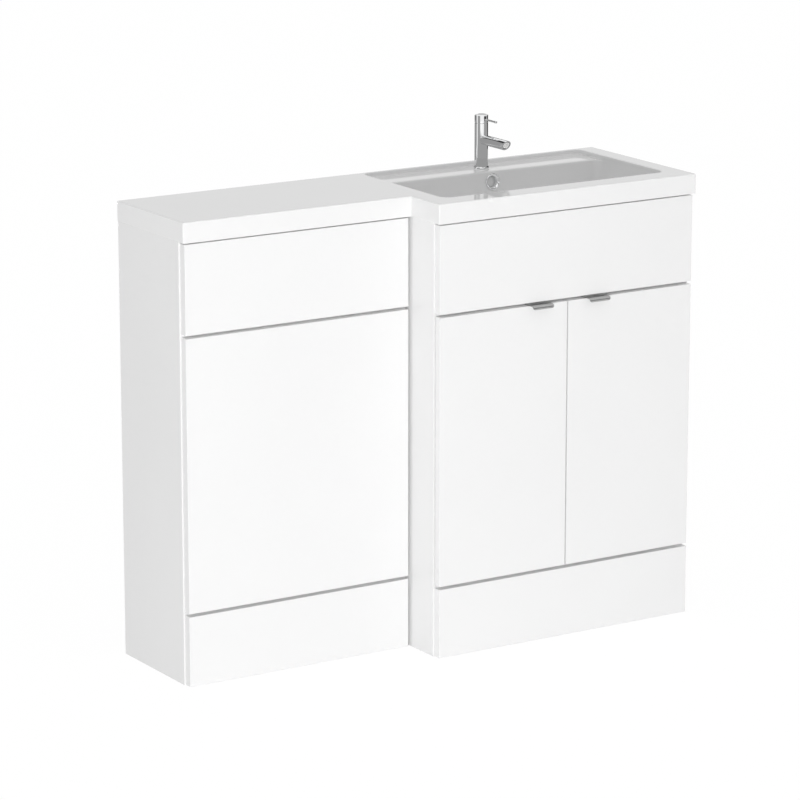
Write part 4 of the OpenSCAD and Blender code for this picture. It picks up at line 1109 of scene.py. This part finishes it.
def copies_tree():
    """A node tree that places turned copies of an object on points, each spun by chance."""
    name = "placed_copies"
    if name in bpy.data.node_groups:
        return bpy.data.node_groups[name]
    tree = bpy.data.node_groups.new(name, "GeometryNodeTree")
    tree.is_modifier = True
    for label, way, kind in (("Geometry", "INPUT", "Geometry"), ("Prototype", "INPUT", "Object"),
                             ("Material", "INPUT", "Material"), ("Seed", "INPUT", "Int"),
                             ("Geometry", "OUTPUT", "Geometry")):
        tree.interface.new_socket(label, in_out=way, socket_type="NodeSocket" + kind)
    given = add_node(tree, "NodeGroupInput").outputs
    source = add_node(tree, "GeometryNodeObjectInfo", {"Object": given["Prototype"]},
                      transform_space="ORIGINAL")
    turn = add_node(tree, "GeometryNodeInputNamedAttribute", {"Name": "turn"},
                    data_type="FLOAT_VECTOR")
    way = add_node(tree, "FunctionNodeEulerToRotation", {"Euler": turn.outputs["Attribute"]})
    copies = add_node(tree, "GeometryNodeInstanceOnPoints", {
        "Points": given["Geometry"], "Instance": source.outputs["Geometry"],
        "Rotation": way.outputs["Rotation"]})
    chance = add_node(tree, "FunctionNodeRandomValue", {"Seed": given["Seed"]},
                      data_type="FLOAT")
    for socket in chance.inputs:
        if socket.name == "Max" and socket.type == "VALUE":
            socket.default_value = TURN
    angles = add_node(tree, "ShaderNodeCombineXYZ", {
        "Z": next(socket for socket in chance.outputs if socket.type == "VALUE")})
    spin = add_node(tree, "FunctionNodeEulerToRotation", {"Euler": angles.outputs["Vector"]})
    spun = add_node(tree, "GeometryNodeRotateInstances", {
        "Instances": copies.outputs["Instances"], "Rotation": spin.outputs["Rotation"]})
    real = add_node(tree, "GeometryNodeRealizeInstances", {"Geometry": spun.outputs["Instances"]})
    paint = add_node(tree, "GeometryNodeSetMaterial", {
        "Geometry": real.outputs["Geometry"], "Material": given["Material"]})
    add_node(tree, "NodeGroupOutput", {"Geometry": paint.outputs["Geometry"]})
    return tree


def placed(node, prototype, way, turn_past):
    """Copies of a mesh at the middles of a CAD node's solids, as one mesh. Way is the direction
    of the prototype's Z, which is turned round where X is past a limit."""
    middles = [middle_of(box) for box in islands(node)]
    points = bpy.data.meshes.new("middles")
    points.from_pydata(middles, [], [])
    turns = points.attributes.new("turn", "FLOAT_VECTOR", "POINT")
    for number, middle in enumerate(middles):
        here = Vector(way) * (-1 if middle.x > turn_past else 1)
        turns.data[number].vector = Vector(here.to_track_quat("Z", "Y").to_euler())
    holder, pattern = in_scene("middles", points), in_scene("prototype", prototype)
    tree = copies_tree()
    modifier = holder.modifiers.new("copies", "NODES")
    modifier.node_group = tree
    values = {"Prototype": pattern, "Material": finish(SLOT_OF[node]), "Seed": len(middles)}
    for item in tree.interface.items_tree:
        if item.in_out == "INPUT" and item.name in values:
            modifier[item.identifier] = values[item.name]
    result = applied(holder, pattern)
    if len(result.polygons) < len(middles):
        raise RuntimeError(f"no copies were placed for {node}")
    return result


def cross_cuts(top, reach):
    """Blocks that cut a cross recess into a head whose top is at Z top."""
    wide, deep = 0.28 * reach, 0.55 * reach
    return [block(-a, a, -b, b, top - deep, top + deep)
            for a, b in ((reach, wide / 2), (wide / 2, reach))]


def screw(length, radius, head_radius, head, pitch, reach, flush=False):
    """A screw along Z with a ridged shank and a cross recess in its head, which is domed or
    ends flush at the top."""
    top, core = length / 2, 0.76 * radius
    z = -top + 1.5 * radius
    profile = [(0.2 * MM, -top), (core, z)]
    while z < top - head - 1.4 * pitch:
        profile += [(radius, z + 0.45 * pitch), (radius, z + 0.55 * pitch), (core, z + pitch)]
        z += pitch
    profile += [(core, top - head), (head_radius - 0.1 * MM, top - head),
                (head_radius, top - head + 0.1 * MM)]
    if flush:
        profile += [(head_radius, top - 0.15 * MM), (head_radius - 0.15 * MM, top)]
    else:
        profile += rounded_over(head_radius, top, 0.3 * head_radius, 0.55 * head, 4)
    return shaped(turned(profile, steps=24), cut=cross_cuts(top, reach))


def two_headed_bolt(length, radius, head_radius, head):
    """A connecting bolt along Z with a low head at both ends and a joint line in its middle."""
    top, joint = length / 2, radius - 0.3 * MM
    half = [(head_radius - 0.5 * MM, top), (head_radius, top - 0.5 * MM),
            (head_radius, top - head), (radius, top - head), (radius, 0.2 * MM)]
    profile = [(r, -z) for r, z in half] + [(joint, -0.1 * MM), (joint, 0.1 * MM)] + half[::-1]
    cuts = cross_cuts(top, 3 * MM) + cross_cuts(-top, 3 * MM)
    return shaped(turned(profile, steps=48), cut=cuts)


def fluted_dowel(length, radius):
    """A dowel along Z with flutes and chamfered ends."""
    top, chamfer, flute = length / 2, 1 * MM, 0.3 * MM
    bm = bmesh.new()
    capped(bm, [circle([radius - max(pull, flute if i % 4 > 1 else 0) for i in range(48)], z)
                for z, pull in ((-top, chamfer), (-top + chamfer, 0), (top - chamfer, 0),
                                (top, chamfer))])
    return to_mesh(bm, "dowel")


def pin(length, radius, grooves, edge):
    """A turned pin along Z with chamfered ends and grooves at some heights."""
    top = length / 2
    profile = [(radius - edge, -top), (radius, -top + edge)]
    for z in grooves:
        profile += [(radius, z - 0.4 * MM), (radius - 0.25 * MM, z - 0.2 * MM),
                    (radius - 0.25 * MM, z + 0.2 * MM), (radius, z + 0.4 * MM)]
    profile += [(radius, top - edge), (radius - edge, top)]
    return turned(profile, steps=32)


def buffer_dome(length, radius):
    """A soft bumper along Z with a domed top."""
    low, side = -length / 2, 0.5 * MM
    profile = [(radius - 0.1 * MM, low), (radius, low + 0.1 * MM), (radius, low + side)]
    profile += [(radius * c + 0.2 * MM * s, low + side + (length - side) * s)
                for s, c in quarter(6)[1:]]
    return turned(profile, steps=32)


def push_stud(length, radius, seat):
    """A push-in stud along Z: a ridged root up to Z seat, then a neck and a rounded tip."""
    top, core, neck, tip = length / 2, radius - 0.5 * MM, radius - 0.9 * MM, 2.5 * MM
    profile = [(radius - 1 * MM, -top)]
    z = -top + 0.5 * MM
    while z < seat - 1.6 * MM:
        profile += [(core, z), (radius, z + 0.5 * MM), (radius, z + 0.7 * MM)]
        z += 1.5 * MM
    profile += [(radius, seat - 0.2 * MM), (radius, seat + 1 * MM), (neck, seat + 1.6 * MM),
                (neck, top - 5.5 * MM), (radius, top - 4 * MM)]
    profile += rounded_over(radius, top, tip, tip, 5)
    return turned(profile, steps=32)


class BATHROOM_OT_fixings(bpy.types.Operator):
    """Builds the screws, bolts, pins, dowels, bumpers and studs"""

    bl_idname = "bathroom.fixings"
    bl_label = "Fixings"

    def execute(self, context):
        up, across, back, forward = (0, 0, 1), (1, 0, 0), (0, 1, 0), (0, -1, 0)
        cabinet_middle = middle_of(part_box("vanity_bottom")).x
        stud_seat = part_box("wc_fascia")[1].y - middle_of(islands("wc_fascia_studs")[0]).y
        self.add("front_screws", back,
                 lambda s: screw(s.y, 2 * MM, s.x / 2, 2.5 * MM, 1.4 * MM, 2.2 * MM))
        self.add("hinge_plate_screws", across,
                 lambda s: screw(s.x, 2 * MM, s.y / 2, 2 * MM, 1.4 * MM, 2.2 * MM),
                 cabinet_middle)
        for side in ("left", "right"):
            self.add("handle_screws_" + side, up,
                     lambda s: screw(s.z, 1.75 * MM, s.x / 2, SCREW_HEAD, 1.2 * MM, 1.9 * MM,
                                     flush=True))
        self.add("cabinet_bolts", across,
                 lambda s: two_headed_bolt(s.x, 4 * MM, s.z / 2, 1.5 * MM))
        self.add("shelf_pins", across, lambda s: pin(s.x, s.z / 2, [0], 0.6 * MM))
        self.add("hinge_pins", up,
                 lambda s: pin(s.z, s.x / 2, [-0.4 * s.z, 0.4 * s.z], 0.2 * MM))
        self.add("carcass_dowels", across, lambda s: fluted_dowel(s.x, s.z / 2))
        self.add("door_buffers", forward, lambda s: buffer_dome(s.y, s.z / 2))
        self.add("wc_fascia_studs", back, lambda s: push_stud(s.y, s.z / 2, stud_seat))
        self.add("tap_stud", up, lambda s: pin(
            s.z, s.x / 2, [(-0.5 + k / 24) * s.z for k in range(1, 24)], 0.4 * MM))
        eased_part("moulded_", "wc_fascia_sockets", PRESSED_EDGE)
        return {"FINISHED"}

    def add(self, node, way, make, turn_past=math.inf):
        """Makes a fixing to the size of the node's first solid, and places its copies."""
        low, high = islands(node)[0]
        finished("placed_" + node, placed(node, make(high - low), way, turn_past), node)


# ---- studio ----

FLOOR_COLOUR = (0.9, 0.9, 0.9, 1)
FLOOR_HALF = 30             # half the floor's size
FLOOR_WHITE = 1.03          # strength that shows as white where the floor isn't all white
SENSOR_WIDTH = 36.0         # of the camera, in millimetres
CLIP_END = 100              # the camera sees this far
# Upright cards round the tap: where each starts and ends, in degrees from -Y towards +X, its
# lower and upper edge above the ledge, and its grey
WALL_CARDS = (
    (-180, -150, 0.08, 0.17, 0.03), (-180, -120, 0.001, 0.08, 0.33),
    (-150, -120, 0.08, 0.17, 0.33), (-95, -52, 0.001, 0.17, 0.36),
    (-52, 10, 0.001, 0.035, 0.36), (10, 65, 0.001, 0.17, 0.36),
    (65, 125, 0.001, 0.018, 0.34), (65, 77, 0.018, 0.17, 0.45), (77, 125, 0.018, 0.17, 0.02),
    (125, 150, 0.001, 0.116, 0.02), (150, 180, 0.001, 0.095, 0.33),
    (125, 172, 0.116, 0.145, 0.66))
# Flat card over the ledge: start and end in degrees, height, inner and outer radius, and grey
FLAT_CARD = (-180, 180, 0.001, 0.0165, 0.13, 0.34)
# Strip over the wall behind the spout: left and right X from the tap's axis, near and far Y,
# height above the ledge, and grey
ROOF_CARD = (-0.24, 0.065, 0.38, 1.2, 0.36, 0.04)
# Screen to the left of the spout: left and right X and its Y from the tap's axis, lower and
# upper edge above the ledge, and grey
SCREEN_CARD = (-0.26, -0.11, 0.12, 0.001, 0.17, 0.42)
CARD_STEP = 5               # degrees between a card's bends


def cleared(owner):
    """The empty node tree of a material or a world."""
    owner.use_nodes = True
    owner.node_tree.nodes.clear()
    return owner.node_tree


class BATHROOM_OT_studio(bpy.types.Operator):
    """Sets up the camera, the floor and the soft light"""

    bl_idname = "bathroom.studio"
    bl_label = "Studio"

    def execute(self, context):
        studio = settings().studio
        data = bpy.data.cameras.new("photo_camera")
        data.lens, data.sensor_width = studio.focal_length, SENSOR_WIDTH
        data.clip_end = CLIP_END
        camera = in_scene("photo_camera", data)
        camera.location = studio.camera_place
        camera.rotation_euler = (math.pi / 2 - studio.camera_pitch, 0, -studio.camera_yaw)
        context.scene.camera = camera
        context.scene.view_settings.view_transform = "Standard"
        self.floor(studio)
        self.world(context, studio)
        self.lamp(studio)
        self.cards(studio)
        return {"FINISHED"}

    def seen_directly(self, tree):
        """1 for camera, glossy and transmission rays, and 0 for the rest."""
        path = add_node(tree, "ShaderNodeLightPath").outputs
        total = path["Is Camera Ray"]
        for name in ("Is Glossy Ray", "Is Transmission Ray"):
            total = add_node(tree, "ShaderNodeMath", {0: total, 1: path[name]},
                             operation="MAXIMUM").outputs[0]
        return total

    def floor(self, studio):
        """A plain pale floor that shows white and keeps a faint shadow."""
        bm = bmesh.new()
        bmesh.ops.create_grid(bm, x_segments=1, y_segments=1, size=FLOOR_HALF)
        floor = in_scene("studio_floor", to_mesh(bm, "studio_floor", False))
        material = bpy.data.materials.new("studio_floor")
        tree = cleared(material)
        matt = add_node(tree, "ShaderNodeBsdfDiffuse", {"Color": FLOOR_COLOUR})
        glow = add_node(tree, "ShaderNodeEmission", {"Strength": FLOOR_WHITE})
        share = add_node(tree, "ShaderNodeMath", {
            0: self.seen_directly(tree), 1: studio.floor_glow}, operation="MULTIPLY")
        mix = add_node(tree, "ShaderNodeMixShader", {
            0: share.outputs[0], 1: matt.outputs[0], 2: glow.outputs[0]})
        add_node(tree, "ShaderNodeOutputMaterial", {"Surface": mix.outputs[0]})
        floor.data.materials.append(material)

    def world(self, context, studio):
        """White where it is seen, and a soft light that is stronger from overhead."""
        world = bpy.data.worlds.new("studio")
        context.scene.world = world
        tree = cleared(world)
        place = add_node(tree, "ShaderNodeTexCoord")
        upward = add_node(tree, "ShaderNodeVectorMath", {
            0: place.outputs["Generated"], 1: (0, 0, 1)}, operation="DOT_PRODUCT")
        above = add_node(tree, "ShaderNodeMath", {0: upward.outputs["Value"], 1: 0.0},
                         operation="MAXIMUM")
        square = add_node(tree, "ShaderNodeMath", {0: above.outputs[0], 1: 2.0},
                          operation="POWER")
        lit = add_node(tree, "ShaderNodeMapRange", {
            "Value": square.outputs[0], "To Min": studio.sky,
            "To Max": studio.sky + studio.overhead})
        mix = add_node(tree, "ShaderNodeMix", {
            "Factor": self.seen_directly(tree), "A": lit.outputs["Result"], "B": 1.0},
            data_type="FLOAT")
        back = add_node(tree, "ShaderNodeBackground", {
            "Color": (1, 1, 1, 1), "Strength": mix.outputs["Result"]})
        add_node(tree, "ShaderNodeOutputWorld", {"Surface": back.outputs[0]})

    def lamp(self, studio):
        """A low lamp to the left of the front, that lights the fronts and not the bowl."""
        data = bpy.data.lights.new("low_lamp", "AREA")
        data.shape, data.energy = "RECTANGLE", studio.lamp_power
        data.size, data.size_y = studio.lamp_width, studio.lamp_height
        lamp = in_scene("low_lamp", data)
        lamp.location = studio.lamp_place
        way = Vector(studio.lamp_aim) - Vector(studio.lamp_place)
        lamp.rotation_euler = way.to_track_quat("-Z", "Y").to_euler()
        lamp.visible_glossy = False

    def cards(self, studio):
        """Cards close round the tap that only the mirror-bright chrome sees."""
        x, y, z = TAP_MIDDLE.x, TAP_MIDDLE.y, LEDGE_Z

        def arc(radius, start, end, height):
            steps = max(2, round((end - start) / CARD_STEP))
            turns = [math.radians(start + (end - start) * i / steps) for i in range(steps + 1)]
            return [(x + radius * math.sin(t), y - radius * math.cos(t), z + height)
                    for t in turns]

        cards = [(level, arc(studio.card_distance, start, end, low),
                  arc(studio.card_distance, start, end, high))
                 for start, end, low, high, level in WALL_CARDS]
        start, end, height, inner, outer, level = FLAT_CARD
        cards.append((level, arc(inner, start, end, height), arc(outer, start, end, height)))
        left, right, near, far, height, level = ROOF_CARD
        cards.append((level, *([(x + side, along, z + height) for along in (near, far)]
                               for side in (right, left))))
        left, right, along, low, high, level = SCREEN_CARD
        cards.append((level, *([(x + side, y + along, z + height) for side in (right, left)]
                               for height in (low, high))))
        for number, (level, *edges) in enumerate(cards):
            name = f"studio_card_{number}"
            bm = bmesh.new()
            near, far = ([bm.verts.new(point) for point in edge] for edge in edges)
            for i in range(len(near) - 1):
                bm.faces.new((far[i], far[i + 1], near[i + 1], near[i]))
            card = in_scene(name, to_mesh(bm, name, False))
            for ray in ("camera", "diffuse", "transmission", "shadow", "volume_scatter"):
                setattr(card, "visible_" + ray, False)
            card.data.materials.append(self.card_material(name, level))

    def card_material(self, name, level):
        """An even grey on its front for mirror reflections, and clear for all other rays."""
        material = bpy.data.materials.new(name)
        tree = cleared(material)
        path = add_node(tree, "ShaderNodeLightPath")
        side = add_node(tree, "ShaderNodeNewGeometry")
        seen = add_node(tree, "ShaderNodeMath", {
            0: path.outputs["Is Singular Ray"], 1: side.outputs["Backfacing"]},
            operation="SUBTRACT", use_clamp=True)
        clear = add_node(tree, "ShaderNodeBsdfTransparent")
        glow = add_node(tree, "ShaderNodeEmission", {"Color": (level, level, level, 1)})
        mix = add_node(tree, "ShaderNodeMixShader", {
            0: seen.outputs[0], 1: clear.outputs[0], 2: glow.outputs[0]})
        add_node(tree, "ShaderNodeOutputMaterial", {"Surface": mix.outputs[0]})
        return material


# ---- panel and run ----


class BATHROOM_PT_unit(bpy.types.Panel):
    """Lists the steps that build the unit"""

    bl_label = "Toilet and basin unit"
    bl_idname = "BATHROOM_PT_unit"
    bl_space_type = "VIEW_3D"
    bl_region_type = "UI"
    bl_category = "Bathroom"

    def draw(self, context):
        for operator in OPERATORS:
            self.layout.operator(operator.bl_idname)


OPERATORS = (BATHROOM_OT_studio, BATHROOM_OT_boards, BATHROOM_OT_fronts,
             BATHROOM_OT_basin_top, BATHROOM_OT_tap, BATHROOM_OT_handles,
             BATHROOM_OT_overflow_and_waste, BATHROOM_OT_trap, BATHROOM_OT_hinges,
             BATHROOM_OT_tap_fixing, BATHROOM_OT_fixings)
GROUPS = (TopSettings, TapSettings, BoardSettings, FinishSettings, StudioSettings, UnitSettings)


def register():
    for item in GROUPS + OPERATORS + (BATHROOM_PT_unit,):
        bpy.utils.register_class(item)
    bpy.types.Scene.bathroom_unit = PointerProperty(type=UnitSettings)


def unregister():
    del bpy.types.Scene.bathroom_unit
    for item in reversed(GROUPS + OPERATORS + (BATHROOM_PT_unit,)):
        bpy.utils.unregister_class(item)


def main():
    """Builds every piece and the stage."""
    register()
    for operator in OPERATORS:
        group, name = operator.bl_idname.split(".")
        getattr(getattr(bpy.ops, group), name)()


if __name__ == "__main__":
    main()
